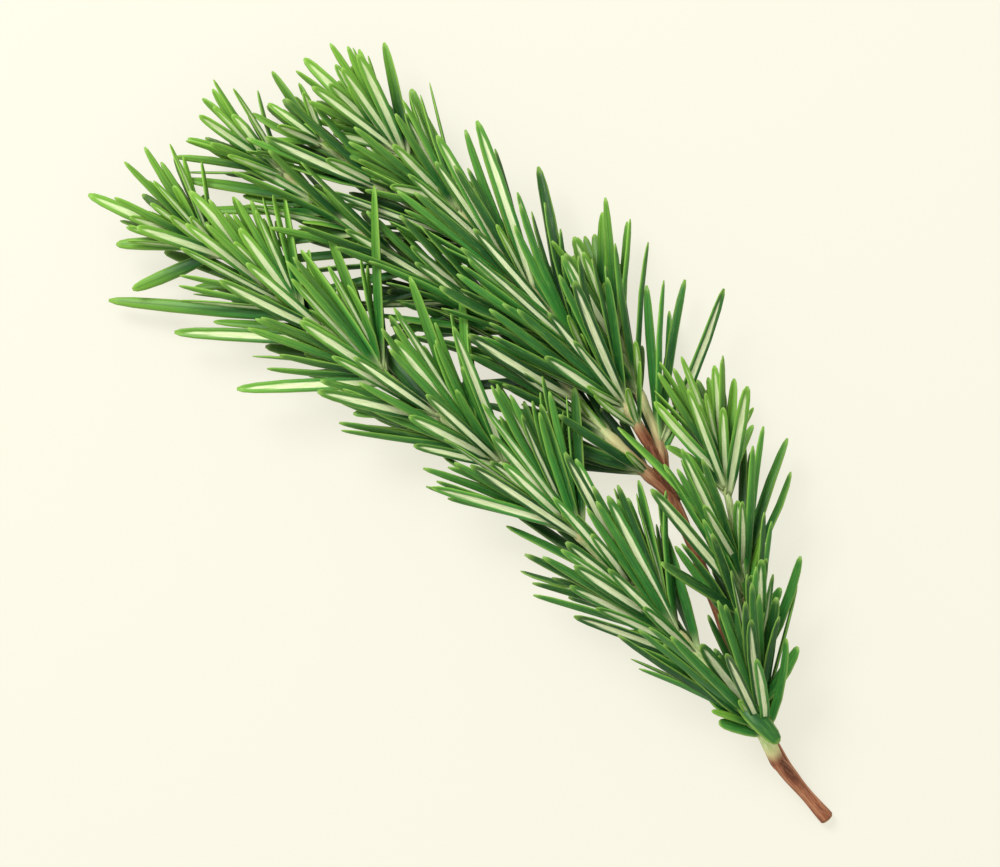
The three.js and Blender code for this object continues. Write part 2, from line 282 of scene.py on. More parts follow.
@dataclass(frozen=True)
class Shoot:
    """A green stem: its line and size, how its leaves start, and those that stand out.

    Each row of seen gives a leaf's distance along the stem, its length, its turn from the
    stem to the left, its rise and its roll. Fans gives how many fine leaves stand side by
    side to the left and to the right of each node, and they open up to fan_turns. Nodes
    gives the distances of the nodes that show, and buds those where only young leaves
    stand. Woody is how far up its brown foot fades out, and shade how much painted shade
    darkens its lower leaves. Each row of extra gives one more leaf's distance, length,
    width, turn, rise, bow and painted shade.
    """

    seed: int
    radius: float
    first_pair: float
    azimuth: float
    tuft: int
    line: tuple[Point, ...]
    seen: tuple[tuple[float, float, float, float, float], ...] = ()
    fans: tuple[int, int] = (6, 7)
    fan_turns: tuple[float, float] = (30.0, 30.0)
    nodes: tuple[float, ...] = ()
    buds: tuple[float, ...] = ()
    woody: float = 12.0
    # Painted shade for the older leaves.
    shade: float = 0.0
    extra: tuple[tuple[float, float, float, float, float, float, float], ...] = ()


class ClearRoom:
    """What is placed already, which the leaves that come after it keep clear of."""

    CHECK_STEPS = 16
    OTHER_FIRST_STEP = 2
    OWN_FIRST_STEP = 5
    CLAIM_STEP = 1.5
    CAPACITY = 40000
    NEAR = 6.0

    def __init__(self) -> None:
        """Start with nothing placed."""
        self.points = np.zeros((self.CAPACITY, 3))
        self.radii = np.zeros(self.CAPACITY)
        self.owners = np.zeros(self.CAPACITY, int)
        self.free = np.zeros(self.CAPACITY, bool)
        self.count = 0
        steps = np.arange(self.OTHER_FIRST_STEP, self.CHECK_STEPS + 1)
        self.shares = steps / self.CHECK_STEPS
        self.leaf_free = steps >= self.OWN_FIRST_STEP

    def _add(self, points: Array, radii: Array | float, owner: int, free: Array | bool) -> None:
        """Keep points as placed.

        Args:
            points: The points.
            radii: Their radii.
            owner: The number of the shoot that they belong to.
            free: Whether the leaves of that shoot keep clear of them too.
        """
        rows = slice(self.count, self.count + len(points))
        self.points[rows] = points
        self.radii[rows] = radii
        self.owners[rows] = owner
        self.free[rows] = free
        self.count = rows.stop

    def claim_stem(self, line: StemLine, radius_at: Callable[[float], float], owner: int) -> None:
        """Mark a stem as taken.

        Args:
            line: The stem's line.
            radius_at: Gives the stem's radius at a distance along it.
            owner: The number of the shoot that it belongs to.
        """
        distances = np.arange(0, line.length, self.CLAIM_STEP)
        points = np.array([line.at(d).point for d in distances])
        self._add(points, np.array([radius_at(d) for d in distances]), owner, False)

    def claim_leaf(self, leaf: Leaf, owner: int) -> None:
        """Mark a leaf as taken."""
        self._add(leaf.points(self.shares), 0.0, owner, self.leaf_free)

    def around(self, leaf: Leaf, owner: int) -> tuple[float, float]:
        """Measure the least room from a leaf to what is placed near it.

        Args:
            leaf: The leaf.
            owner: The number of its own shoot.

        Returns:
            The room to its own shoot's leaves, and the room to everything else.
        """
        points = leaf.points(self.shares)
        low, high = points.min(axis=0) - self.NEAR, points.max(axis=0) + self.NEAR
        placed = self.points[:self.count]
        close = np.flatnonzero(((placed > low) & (placed < high)).all(axis=1))
        gaps = np.sqrt(((points[:, None] - placed[None, close]) ** 2).sum(axis=2))
        gaps -= self.radii[close]
        same = self.owners[close] == owner
        mine = gaps[self.leaf_free][:, same & self.free[close]]
        others = gaps[:, ~same]
        return (float(mine.min(initial=math.inf)), float(others.min(initial=math.inf)))


class PointValue(Enum):
    """The attributes that the points of a mesh carry."""

    GRAIN = "grain"
    FELT = "felt"
    # Edge marks the rim, where the painted highlight lies.
    EDGE = "edge"
    # Groove marks the middle of the upper face, where the painted shade of the groove lies.
    GROOVE = "groove"
    SHARE = "share"
    TONE = "tone"
    YOUTH = "youth"
    # How much painted shade a leaf carries.
    SHADE = "shade"
    WOODY = "woody"
    NODE = "node"
    RING = "ring"


def to_mesh(name: str, shell: bmesh.types.BMesh) -> bpy.types.Mesh:
    """Turn a bmesh into a mesh, and free it.

    Args:
        name: The mesh's name.
        shell: The bmesh.

    Returns:
        The mesh.
    """
    mesh = bpy.data.meshes.new(name)
    shell.to_mesh(mesh)
    shell.free()
    return mesh


def join_meshes(name: str, meshes: Sequence[bpy.types.Mesh]) -> bpy.types.Mesh:
    """Put meshes into one.

    Args:
        name: The new mesh's name.
        meshes: The meshes, which may hold one several times, and are removed.

    Returns:
        The mesh, whose points come in the order of the meshes.
    """
    shell = bmesh.new()
    for mesh in meshes:
        shell.from_mesh(mesh)
    joined = to_mesh(name, shell)
    for mesh in set(meshes):
        bpy.data.meshes.remove(mesh)
    return joined


def read_points(mesh: bpy.types.Mesh) -> Array:
    """Read a mesh's points.

    Args:
        mesh: The mesh.

    Returns:
        The points in metres, one in a row.
    """
    flat = np.zeros(len(mesh.vertices) * 3, np.float32)
    mesh.vertices.foreach_get("co", flat)
    return flat.reshape(-1, 3)


def set_points(mesh: bpy.types.Mesh, points: Array) -> None:
    """Move a mesh's points to their places, and none below the table.

    Args:
        mesh: The mesh.
        points: The places in millimetres, one in a row.
    """
    placed = (points + CENTRE_SHIFT) * MM
    placed[:, 2] = np.maximum(placed[:, 2], 0)
    mesh.vertices.foreach_set("co", placed.astype(np.float32).ravel())
    mesh.update()


def set_values(mesh: bpy.types.Mesh, kind: PointValue, values: Array) -> None:
    """Write an attribute on a mesh's points.

    Args:
        mesh: The mesh.
        kind: The attribute.
        values: One number, or one row of three numbers, for each point.
    """
    data_type, key = ("FLOAT_VECTOR", "vector") if values.ndim == 2 else ("FLOAT", "value")
    attribute = mesh.attributes.new(kind.value, data_type, "POINT")
    attribute.data.foreach_set(key, values.astype(np.float32).ravel())


def add_object(name: str, data: bpy.types.ID) -> bpy.types.Object:
    """Put an object into the scene.

    Args:
        name: The object's name.
        data: Its mesh, camera or light.

    Returns:
        The object.
    """
    thing = bpy.data.objects.new(name, data)
    bpy.context.scene.collection.objects.link(thing)
    return thing


def add_piece(name: str, mesh: bpy.types.Mesh, material: bpy.types.Material) -> bpy.types.Object:
    """Put a mesh into the scene as a piece of the sprig.

    Args:
        name: The piece's name.
        mesh: Its mesh, already in place.
        material: Its finish.

    Returns:
        The new object.
    """
    mesh.materials.append(material)
    piece = add_object(name, mesh)
    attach(piece, BODY)
    LOG.info("%s: %d faces", name, len(mesh.polygons))
    return piece


class Tube:
    """A closed tube of rings, made once and then laid along any number of lines."""

    MIDWAY = 0.5
    QUARTER = 0.25

    def __init__(self, sides: int, stations: int, poles: bool = True) -> None:
        """Make the tube's mesh.

        Args:
            sides: The points in a ring.
            stations: The number of rings.
            poles: Whether its ends have a point in their middle.
        """
        self.shape = (stations, sides)
        shell = bmesh.new()
        bmesh.ops.create_cone(shell, cap_ends=True, cap_tris=poles, segments=sides,
                              radius1=1.0, radius2=1.0, depth=stations - 1)
        upright = [e for e in shell.edges if abs(e.verts[0].co.z - e.verts[1].co.z) > self.MIDWAY]
        bmesh.ops.subdivide_edges(shell, edges=upright, cuts=stations - 2)
        for face in shell.faces:
            face.smooth = True
        self.mesh = to_mesh("tube", shell)
        spots = read_points(self.mesh)
        self.station = np.rint(spots[:, 2] + (stations - 1) / 2).astype(int)
        turns = np.arctan2(spots[:, 1], spots[:, 0]) / (2 * math.pi) - self.QUARTER
        self.around = np.rint(turns * sides).astype(int) % sides
        self.pole = np.hypot(spots[:, 0], spots[:, 1]) < self.MIDWAY
        self.size = len(spots)

    def spread(self, rings: Array, poles: Array | None = None) -> Array:
        """Give a value for each point of the tube.

        Args:
            rings: The values for each ring and side, of any width.
            poles: The two values for the middles of the first and last ring, if it has them.

        Returns:
            The values in the order of the tube's points.
        """
        values = rings[self.station, self.around].astype(float)
        if poles is not None:
            values[self.pole] = poles[(self.station[self.pole] > 0).astype(int)]
        return values


def sweep(name: str, line: StemLine, sides: int, step: float,
          radius_at: Callable[[float, Array], Array], start: float = 0.0,
          end: float = 0.0) -> tuple[bpy.types.Mesh, Array]:
    """Build a stem's skin along its line.

    Args:
        name: The mesh's name.
        line: The stem's line.
        sides: The points in a ring.
        step: The distance between rings.
        radius_at: Gives the radii at a distance, for the turns round the stem.
        start: How far it starts before the line.
        end: How far it runs past it.

    Returns:
        The mesh, and the distance along the stem of each of its points.
    """
    distances = np.linspace(-start, line.length + end, int((line.length + start + end) / step) + 1)
    turns = 2 * math.pi * np.arange(sides) / sides
    tube = Tube(sides, len(distances))
    rings, grain = np.zeros((2, *tube.shape, 3))
    for k, distance in enumerate(distances):
        place = line.at(distance)
        radii = radius_at(distance, turns)
        up, side = radii * np.cos(turns), radii * np.sin(turns)
        rings[k] = place.point + np.outer(up, place.up) + np.outer(side, place.side)
        grain[k] = np.column_stack([up, side, np.full(sides, distance)])
    mesh = join_meshes(name, [tube.mesh])
    set_points(mesh, tube.spread(rings, rings[[0, -1]].mean(axis=1)))
    set_values(mesh, PointValue.GRAIN, tube.spread(grain, grain[[0, -1]].mean(axis=1)))
    along = tube.spread(np.repeat(distances[:, None], sides, 1), distances[[0, -1]])
    return mesh, along


class Signal:
    """A number or colour in a material, which Python's operators work on."""

    def __init__(self, make: NodeMaker, socket: bpy.types.NodeSocket) -> None:
        """Wrap a socket of a node."""
        self.make = make
        self.socket = socket

    def _math(self, operation: str, first: Value, second: Value) -> Signal:
        """Add a Math node on two values."""
        return self.make.node("ShaderNodeMath", {"operation": operation}, {0: first, 1: second})

    def __add__(self, other: Value) -> Signal:
        """Add a value."""
        return self._math("ADD", self, other)

    def __sub__(self, other: Value) -> Signal:
        """Take a value away."""
        return self._math("SUBTRACT", self, other)

    def __rsub__(self, other: Value) -> Signal:
        """Take this from a value."""
        return self._math("SUBTRACT", other, self)

    def __mul__(self, other: Value) -> Signal:
        """Multiply by a value."""
        return self._math("MULTIPLY", self, other)

    def __pow__(self, other: Value) -> Signal:
        """Raise to a power."""
        return self._math("POWER", self, other)

    __radd__ = __add__
    __rmul__ = __mul__

    def between(self, low: float, high: float) -> Signal:
        """Go smoothly from 0 at low to 1 at high."""
        return self.make.node("ShaderNodeMapRange", {"interpolation_type": "SMOOTHSTEP"},
                              {"Value": self, "From Min": low, "From Max": high}, "Result")

    def mixed(self, start: Colour, end: Colour) -> Signal:
        """Mix two colours, from start where this is 0 to end where it is 1."""
        return self.make.node("ShaderNodeMix", {"data_type": "RGBA"},
                              {"Factor": self, "A": start, "B": end}, "Result")


class NodeMaker:
    """Makes a material's nodes."""

    def __init__(self, name: str) -> None:
        """Start a material with its shader.

        Args:
            name: The material's name.
        """
        self.material = bpy.data.materials.new(name)
        self.material.use_nodes = True
        self.tree = self.material.node_tree

    def node(self, kind: str, settings: dict[str, str],
             inputs: dict[str | int, Value | Colour | Point], output: str | int = 0) -> Signal:
        """Make a node.

        Args:
            kind: The node's type.
            settings: Its settings, which are set first.
            inputs: Values or signals for its sockets, by name or number.
            output: The name or number of the output that is used.

        Returns:
            That output.
        """
        made = self.tree.nodes.new(kind)
        for key, value in settings.items():
            setattr(made, key, value)
        for key, value in inputs.items():
            self.feed(made.inputs[key], value)
        return Signal(self, made.outputs[output])

    def feed(self, socket: bpy.types.NodeSocket, value: Value | Colour | Point) -> None:
        """Link a signal to a socket, or set the socket's own value.

        Args:
            socket: The socket.
            value: The signal or the value.
        """
        if isinstance(value, Signal):
            self.tree.links.new(value.socket, socket)
        else:
            socket.default_value = value

    def attribute(self, kind: PointValue) -> Signal:
        """Read an attribute of the mesh's points."""
        output = "Vector" if kind is PointValue.GRAIN else "Fac"
        return self.node("ShaderNodeAttribute", {"attribute_name": kind.value}, {}, output)

    def finish(self, **sockets: Value | Colour) -> bpy.types.Material:
        """Feed the shader's sockets and give the material.

        Args:
            sockets: Values or signals by socket name, with _ for a space.

        Returns:
            The material.
        """
        shader = self.tree.nodes["Principled BSDF"]
        for key, value in sockets.items():
            self.feed(shader.inputs[key.replace("_", " ")], value)
        return self.material


Value = Signal | float
Colour = Signal | tuple[float, float, float, float]


@dataclass(frozen=True)
class Noise:
    """Soft noise: its grains for each millimetre, and its scale across and along a stem."""

    scale: float
    across: float = 1.0
    along: float = 1.0
    detail: float = 3.0
    roughness: float = 0.55

    def on(self, grain: Signal) -> Signal:
        """Draw the noise.

        Args:
            grain: The place on the stem or leaf.

        Returns:
            A number from 0 to 1.
        """
        where = grain.make.node("ShaderNodeMapping", {}, {
            "Vector": grain, "Scale": (self.across, self.across, self.along)}, "Vector")
        return grain.make.node("ShaderNodeTexNoise", {}, {
            "Vector": where, "Scale": self.scale, "Detail": self.detail,
            "Roughness": self.roughness}, "Fac")


@dataclass(frozen=True)
class Layer:
    """A colour over another: it starts where a mask is low, and is full where it is high."""

    colour: Colour
    low: float = 0.0
    high: float = 1.0
    strength: float = 1.0

    def over(self, below: Colour, mask: Signal) -> Signal:
        """Lay the colour over what is below it."""
        return (mask.between(self.low, self.high) * self.strength).mixed(below, self.colour)


@dataclass(frozen=True)
class Blend:
    """A level to start from, and how much each mask adds to it."""

    start: float
    weights: tuple[float, ...]

    def of(self, *masks: Signal) -> Signal:
        """Add masks to the level.

        Args:
            masks: The masks, one for each weight.

        Returns:
            The number that they come to.
        """
        level = self.start
        for weight, mask in zip(self.weights, masks):
            level = mask * weight + level
        return level


@dataclass(frozen=True)
class Relief:
    """A bump: how high 1 stands, in millimetres, and how much of it shows."""

    depth: float
    strength: float

    def of(self, height: Signal) -> Signal:
        """Turn a height from 0 to 1 into a bumped normal."""
        return height.make.node("ShaderNodeBump", {}, {
            "Height": height, "Distance": self.depth * MM, "Strength": self.strength}, "Normal")


@dataclass(frozen=True)
class LeafFinish:
    """Green needle leaves: glossy above, pale felt in a channel below, with a painted highlight
    along their rims and painted shade in their grooves and on shaded leaves.
    """

    deep: Colour = linear(16, 62, 27)
    middle: Colour = linear(54, 126, 48)
    # Colour of painted shade, laid on the green of shaded leaves.
    dark: Colour = linear(6, 28, 12)
    felt_shade: Colour = linear(184, 202, 142)
    # Rib colour: the felt of young leaves takes it, and the felt of shaded leaves takes it as
    # painted shade.
    rib: Colour = linear(138, 170, 94)
    fresh: Layer = Layer(linear(106, 156, 50))
    # Painted highlight: a lighter green laid along each leaf's rim, where the edge mask is high.
    rim_highlight: Layer = Layer(linear(150, 192, 82), 0.3, 1.0, 0.6)
    streak: Layer = Layer(linear(150, 192, 82), 0.52, 0.8, 0.3)
    # Painted shade: a darker line along the groove on each leaf's upper face.
    groove: Layer = Layer(linear(16, 62, 27), 0.62, 0.95, 0.35)
    felt: Layer = Layer(linear(214, 222, 180), 0.3, 0.6)
    tip: Layer = Layer(linear(132, 168, 72), 0.93, 1.0, 0.6)
    foot: Layer = Layer(linear(196, 208, 150), 0.78, 1.0, 0.8)
    patches: Noise = Noise(0.5, along=0.2)
    streaks: Noise = Noise(1.4, across=4.0, along=0.3)
    pores: Noise = Noise(9.0, detail=2.0)
    felt_mask: Blend = Blend(-0.15, (1.0, 0.3))
    felt_range: tuple[float, float] = (0.1, 0.9)
    depth: Blend = Blend(-0.35, (0.7, 0.9))
    fresh_start: float = 0.1
    fresh_by_youth: Blend = Blend(0.2, (0.75,))
    fresh_by_tone: Blend = Blend(0.75, (0.5,))
    youth_power: float = 2.0
    rib_by_youth: float = 0.4
    painted_shade_on_felt: float = 0.55
    painted_shade_on_green: float = 0.8
    roughness: Blend = Blend(0.33, (0.4, 0.12))
    height: Blend = Blend(0.0, (0.4, 0.6))
    relief: Relief = Relief(0.12, 0.5)
    gloss: float = 1.3

    def material(self) -> bpy.types.Material:
        """Make the material.

        Returns:
            The material.
        """
        make = NodeMaker("rosemary_leaf")
        grain, felt, edge, groove, share, tone, youth, shade = map(make.attribute, (
            PointValue.GRAIN, PointValue.FELT, PointValue.EDGE, PointValue.GROOVE,
            PointValue.SHARE, PointValue.TONE, PointValue.YOUTH, PointValue.SHADE))
        patches, streaks, pores = (
            noise.on(grain) for noise in (self.patches, self.streaks, self.pores))
        felt = self.felt_mask.of(felt, streaks).between(*self.felt_range)
        depth = self.depth.of(tone, patches).between(0.0, 1.0)
        ripe = youth ** self.youth_power
        fresh = (share.between(self.fresh_start, 1.0) * self.fresh_by_youth.of(ripe)
                 * self.fresh_by_tone.of(tone))
        green = self.fresh.over(depth.mixed(self.deep, self.middle), fresh)
        # Paint a highlight along the rims.
        green = self.rim_highlight.over(green, edge)
        green = self.streak.over(green, streaks)
        # Paint shade along the groove.
        green = self.groove.over(green, groove)
        # Painted shade: darken the green of shaded leaves.
        green = (shade * self.painted_shade_on_green).mixed(green, self.dark)
        wool = self.felt.over(self.felt_shade, streaks)
        wool = (ripe * self.rib_by_youth).mixed(wool, self.rib)
        # Painted shade: the felt of shaded leaves turns darker too.
        wool = (shade * self.painted_shade_on_felt).mixed(wool, self.rib)
        skin = self.tip.over(felt.mixed(green, wool), share)
        return make.finish(
            Base_Color=self.foot.over(skin, 1 - share),
            Roughness=self.roughness.of(felt, pores),
            Normal=self.relief.of(self.height.of(pores, streaks)),
            IOR=self.gloss,
        )


@dataclass(frozen=True)
class BarkFinish:
    """Thin reddish-brown bark with dark furrows and lighter worn strips."""

    dark: Colour = linear(80, 42, 24)
    red: Layer = Layer(linear(124, 72, 46), 0.38, 0.54)
    worn: Layer = Layer(linear(174, 124, 90), 0.52, 0.66, 0.7)
    fibre: Layer = Layer(linear(174, 124, 90), 0.48, 0.74, 0.6)
    strips: Noise = Noise(1.0, across=0.9, along=0.06, detail=4.0)
    fibres: Noise = Noise(1.6, across=3.0, along=0.3, detail=4.0)
    roughness: Blend = Blend(0.62, (0.2,))
    height: Blend = Blend(0.0, (0.4, 0.6))
    relief: Relief = Relief(0.22, 0.6)
    gloss: float = 1.35

    def skin(self, grain: Signal) -> tuple[Signal, Signal]:
        """Colour the bark.

        Args:
            grain: The place on the stem.

        Returns:
            The colour, and the bark's height as a number from 0 to 1.
        """
        strips, fibres = self.strips.on(grain), self.fibres.on(grain)
        skin = self.worn.over(self.red.over(self.dark, strips), strips)
        return self.fibre.over(skin, fibres), self.height.of(strips, fibres)

    def material(self) -> bpy.types.Material:
        """Make the material.

        Returns:
            The material.
        """
        make = NodeMaker("rosemary_bark")
        skin, height = self.skin(make.attribute(PointValue.GRAIN))
        return make.finish(Base_Color=skin, Roughness=self.roughness.of(height),
                           IOR=self.gloss, Normal=self.relief.of(height))


@dataclass(frozen=True)
class StemFinish:
    """Green stem: pale and finely lined, tan at its nodes and brown at its foot."""

    green: Colour = linear(146, 176, 98)
    pale: Layer = Layer(linear(200, 210, 156), 0.35, 0.65)
    tan: Layer = Layer(linear(194, 184, 132))
    bark: BarkFinish = BarkFinish()
    lines: Noise = Noise(1.6, across=3.0, along=0.3)
    patches: Noise = Noise(0.6, along=0.5)
    patch_range: tuple[float, float] = (0.5, 0.7)
    tan_mask: Blend = Blend(0.0, (0.56, 0.7))
    tan_by_wood: float = 1.4
    bark_mask: Blend = Blend(-1.5, (2.4, 0.8))
    roughness: Blend = Blend(0.55, (0.2,))
    height: Blend = Blend(0.0, (0.6, 0.4))
    relief: Relief = Relief(0.18, 0.6)
    gloss: float = 1.35

    def material(self) -> bpy.types.Material:
        """Make the material.

        Returns:
            The material.
        """
        make = NodeMaker("rosemary_stem")
        grain, woody, node = map(make.attribute, (
            PointValue.GRAIN, PointValue.WOODY, PointValue.NODE))
        lines, patches = self.lines.on(grain), self.patches.on(grain)
        skin = self.pale.over(self.green, lines)
        patches = patches.between(*self.patch_range)
        skin = self.tan.over(skin, self.tan_mask.of(patches, node))
        skin = self.tan.over(skin, woody * self.tan_by_wood)
        bark, height = self.bark.skin(grain)
        skin = self.bark_mask.of(woody, lines).between(0.0, 1.0).mixed(skin, bark)
        return make.finish(Base_Color=skin, Roughness=self.roughness.of(lines),
                           IOR=self.gloss,
                           Normal=self.relief.of(self.height.of(lines, height)))


@dataclass(frozen=True)
class CutFinish:
    """Pale cut wood with a darker rim and a green-white pith."""

    wood: Colour = linear(206, 176, 126)
    rim: Layer = Layer(linear(120, 78, 50), 0.8, 0.98)
    ray: Layer = Layer(linear(120, 78, 50), 0.4, 0.7, 0.4)
    pith: Layer = Layer(linear(226, 218, 176), 0.72, 0.9)
    rays: Noise = Noise(3.0)
    roughness: Blend = Blend(0.7, (0.2,))
    relief: Relief = Relief(0.1, 0.5)

    def material(self) -> bpy.types.Material:
        """Make the material.

        Returns:
            The material.
        """
        make = NodeMaker("rosemary_cut_wood")
        ring = make.attribute(PointValue.RING)
        rays = self.rays.on(make.attribute(PointValue.GRAIN))
        skin = self.ray.over(self.rim.over(self.wood, ring), rays)
        return make.finish(Base_Color=self.pith.over(skin, 1 - ring),
                           Roughness=self.roughness.of(rays), Normal=self.relief.of(rays))


@dataclass(frozen=True)
class LeafShape:
    """The form of a leaf: a section with rolled margins, narrowed at its foot and tip.

    Section is half of the leaf's section, from the rib in the felted channel round to the
    groove above: each row is across, out, felt, edge and groove, with sizes in half widths.
    Each row of outline is a share of the length and the width there. The felt starts and
    ends at shares of the length, and its side fades out sooner than its middle.
    """

    section: tuple[tuple[float, float, float, float, float], ...] = (
        (0.0, 0.12, 1.0, 0.0, 0.0), (0.33, 0.03, 1.0, 0.0, 0.0), (0.53, 0.20, 0.0, 0.05, 0.0),
        (0.80, 0.27, 0.0, 0.12, 0.0), (1.0, 0.0, 0.0, 1.0, 0.0), (0.62, -0.36, 0.0, 0.1, 0.0),
        (0.0, -0.24, 0.0, 0.0, 1.0),
    )
    outline: tuple[tuple[float, float], ...] = (
        (0.0, 0.42), (0.07, 0.60), (0.20, 0.86), (0.42, 1.0), (0.70, 0.97), (0.88, 0.80),
        (0.96, 0.56), (0.995, 0.22),
    )
    width_share: float = 0.86
    felt_start: float = 0.03
    middle_felt_full: float = 0.9
    side_felt_full: float = 0.65
    felt_end: float = 0.95
    grain_spread: float = 100.0

    def _felt(self, shares: Array, full: float) -> Array:
        """Give how much felt there is at shares of the length, which fades out past full."""
        return np.interp(shares, [0, self.felt_start, full, self.felt_end], [0, 1, 1, 0])

    def build(self, name: str, leaves: Sequence[Leaf], seed: int) -> bpy.types.Mesh:
        """Build all the leaves of a shoot as one mesh.

        Args:
            name: The mesh's name.
            leaves: The leaves.
            seed: The seed of their tones.

        Returns:
            The mesh, with its attributes.
        """
        half_ring = np.array(self.section)
        ring = np.vstack([half_ring, half_ring[-2:0:-1] * np.array([-1, 1, 1, 1, 1])])
        shares, widths = np.array(self.outline).T
        tube = Tube(len(ring), len(shares), poles=False)
        x, y = ring[:, 0][None, :, None], ring[:, 1][None, :, None]
        draw = SeededDraw(seed)
        points, grains, tones = [], [], []
        for leaf in leaves:
            middle, across, out = leaf.frames(shares)
            half = (widths * leaf.width * self.width_share / 2)[:, None, None]
            rings = middle[:, None] + across[:, None] * x * half + out[:, None] * y * half
            points.append(tube.spread(rings))
            length = float(np.linalg.norm(leaf.tip - leaf.base))
            along = np.broadcast_to(shares[:, None, None] * length, (*tube.shape, 1))
            straight = np.concatenate([x * half, y * half, along], axis=2)
            offset = np.array([draw(), draw(), draw()]) * self.grain_spread
            grains.append(tube.spread(straight) + offset)
            tones.append(draw())
        mesh = join_meshes(name, [tube.mesh] * len(leaves))
        set_points(mesh, np.vstack(points))
        set_values(mesh, PointValue.GRAIN, np.vstack(grains))
        fade = np.where(ring[:, 0] == 0, self._felt(shares, self.middle_felt_full)[:, None],
                        self._felt(shares, self.side_felt_full)[:, None])
        on_each_leaf = {
            PointValue.FELT: ring[:, 2] * fade,
            PointValue.EDGE: ring[:, 3],
            PointValue.GROOVE: ring[:, 4],
            PointValue.SHARE: shares[:, None],
        }
        for kind, values in on_each_leaf.items():
            spread = tube.spread(np.broadcast_to(values, tube.shape))
            set_values(mesh, kind, np.tile(spread, len(leaves)))
        of_each_leaf = {
            PointValue.TONE: tones,
            PointValue.YOUTH: [leaf.youth for leaf in leaves],
            PointValue.SHADE: [leaf.shade for leaf in leaves],
        }
        for kind, numbers in of_each_leaf.items():
            set_values(mesh, kind, np.repeat(numbers, tube.size))
        return mesh


FINE_LEAF = LeafShape(
    section=((0.0, 0.10, 0.7, 0.0, 0.0), (0.28, 0.03, 0.7, 0.0, 0.0),
             (0.58, 0.26, 0.0, 0.15, 0.0), (1.0, 0.0, 0.0, 1.0, 0.0),
             (0.58, -0.38, 0.0, 0.15, 0.0), (0.0, -0.26, 0.0, 0.0, 1.0)),
    outline=((0.0, 0.50), (0.10, 0.72), (0.32, 1.0), (0.68, 1.0), (0.88, 0.82), (0.965, 0.56),
             (0.998, 0.24)))


@dataclass
class Stem:
    """A green stem with blunt angles, swollen at its nodes, and where leaves grow on it."""

    shoot: Shoot
    owner: int
    tip_radius: float = 0.55
    root_share: float = 0.4
    bow_share: float = 0.45
    leaf_length: float = 33.0
    tip_leaf_share: float = 0.64
    internode_low: float = 19.0
    internode_tip: float = 10.0
    last_pair_room: float = 0.5
    crown_depth: float = 1.5
    sides: int = 16
    step: float = 0.8
    root_run: float = 2.0
    root_taper: float = 0.5
    angles: int = 4
    angle_swell: float = 0.10
    node_swell: float = 0.22
    node_length: float = 1.2

    def __post_init__(self) -> None:
        """Draw the stem's line."""
        self.line = StemLine(self.shoot.line)

    def radius(self, distance: float) -> float:
        """Give the stem's radius at a distance along it."""
        return mix(self.shoot.radius, self.tip_radius, distance / self.line.length)

    def leaf_length_at(self, distance: float) -> float:
        """Give the length of a primary leaf at a distance."""
        age = distance / self.line.length
        return self.leaf_length * mix(1, self.tip_leaf_share, age * age)

    def pairs(self) -> list[tuple[float, float]]:
        """List where leaf pairs spring from the stem, each turned a quarter from the last.

        Returns:
            The distance along the stem and the azimuth of each pair, and last the
            distance and azimuth that follow them.
        """
        places = [(self.shoot.first_pair, self.shoot.azimuth)]
        while places[-1][0] < self.line.length - self.last_pair_room * self.internode_tip:
            distance, azimuth = places[-1]
            step = mix(self.internode_low, self.internode_tip, distance / self.line.length)
            places.append((distance + step, azimuth + 90))
        return places

    def shown_nodes(self) -> list[float]:
        """List the distances of the nodes that show."""
        return list(self.shoot.nodes) or [distance for distance, _ in self.pairs()[:-1]]

    def leaf(self, plan: LeafPlan) -> Leaf:
        """Make a leaf.

        Args:
            plan: Where it grows, and its size.

        Returns:
            The leaf.
        """
        root = self.line.at(plan.distance)
        turn, tilt = math.radians(plan.azimuth), math.radians(plan.roll)
        radial = root.up * math.cos(turn) + root.side * math.sin(turn)
        base = root.point + radial * self.root_share * self.radius(plan.distance)
        across = np.cross(root.along, radial) * math.cos(tilt) + radial * math.sin(tilt)
        reaches = ((math.radians(plan.splay - plan.bow), self.bow_share),
                   (math.radians(plan.splay), 1.0))
        bend, tip = (base + (root.along * math.cos(opened) + radial * math.sin(opened))
                     * share * plan.length for opened, share in reaches)
        youth = plan.distance / self.line.length if plan.youth is None else plan.youth
        return Leaf(base, bend, tip, across, plan.width, youth, plan.shade, plan.posed)

    def _swell(self, distance: Array | float) -> Array:
        """Give how much of a node's swelling there is.

        Args:
            distance: One distance along the stem, or a row of them.

        Returns:
            The swelling at each, which is 1 in the middle of a node.
        """
        nodes = np.array(self.shown_nodes())
        off = (nodes - np.asarray(distance)[..., None]) / self.node_length
        return np.exp(-off ** 2).sum(axis=-1)

    def _radii(self, distance: float, turns: Array) -> Array:
        """Give the stem's radii.

        Args:
            distance: The distance along it.
            turns: The turns round it.

        Returns:
            The radius at each turn.
        """
        plain = self.radius(min(max(distance, 0.0), self.line.length))
        angled = 1 + self.angle_swell * np.cos(self.angles * turns)
        buried = mix(1, self.root_taper, clip(-distance / self.root_run))
        return plain * angled * buried * (1 + self.node_swell * self._swell(distance))

    def build(self, name: str) -> bpy.types.Mesh:
        """Build the stem's mesh.

        Args:
            name: The mesh's name.

        Returns:
            The mesh, with its attributes.
        """
        mesh, along = sweep(name, self.line, self.sides, self.step, self._radii, self.root_run)
        set_values(mesh, PointValue.WOODY, np.clip(1 - along / self.shoot.woody, 0, 1))
        set_values(mesh, PointValue.NODE, np.clip(self._swell(along), 0, 1))
        return mesh


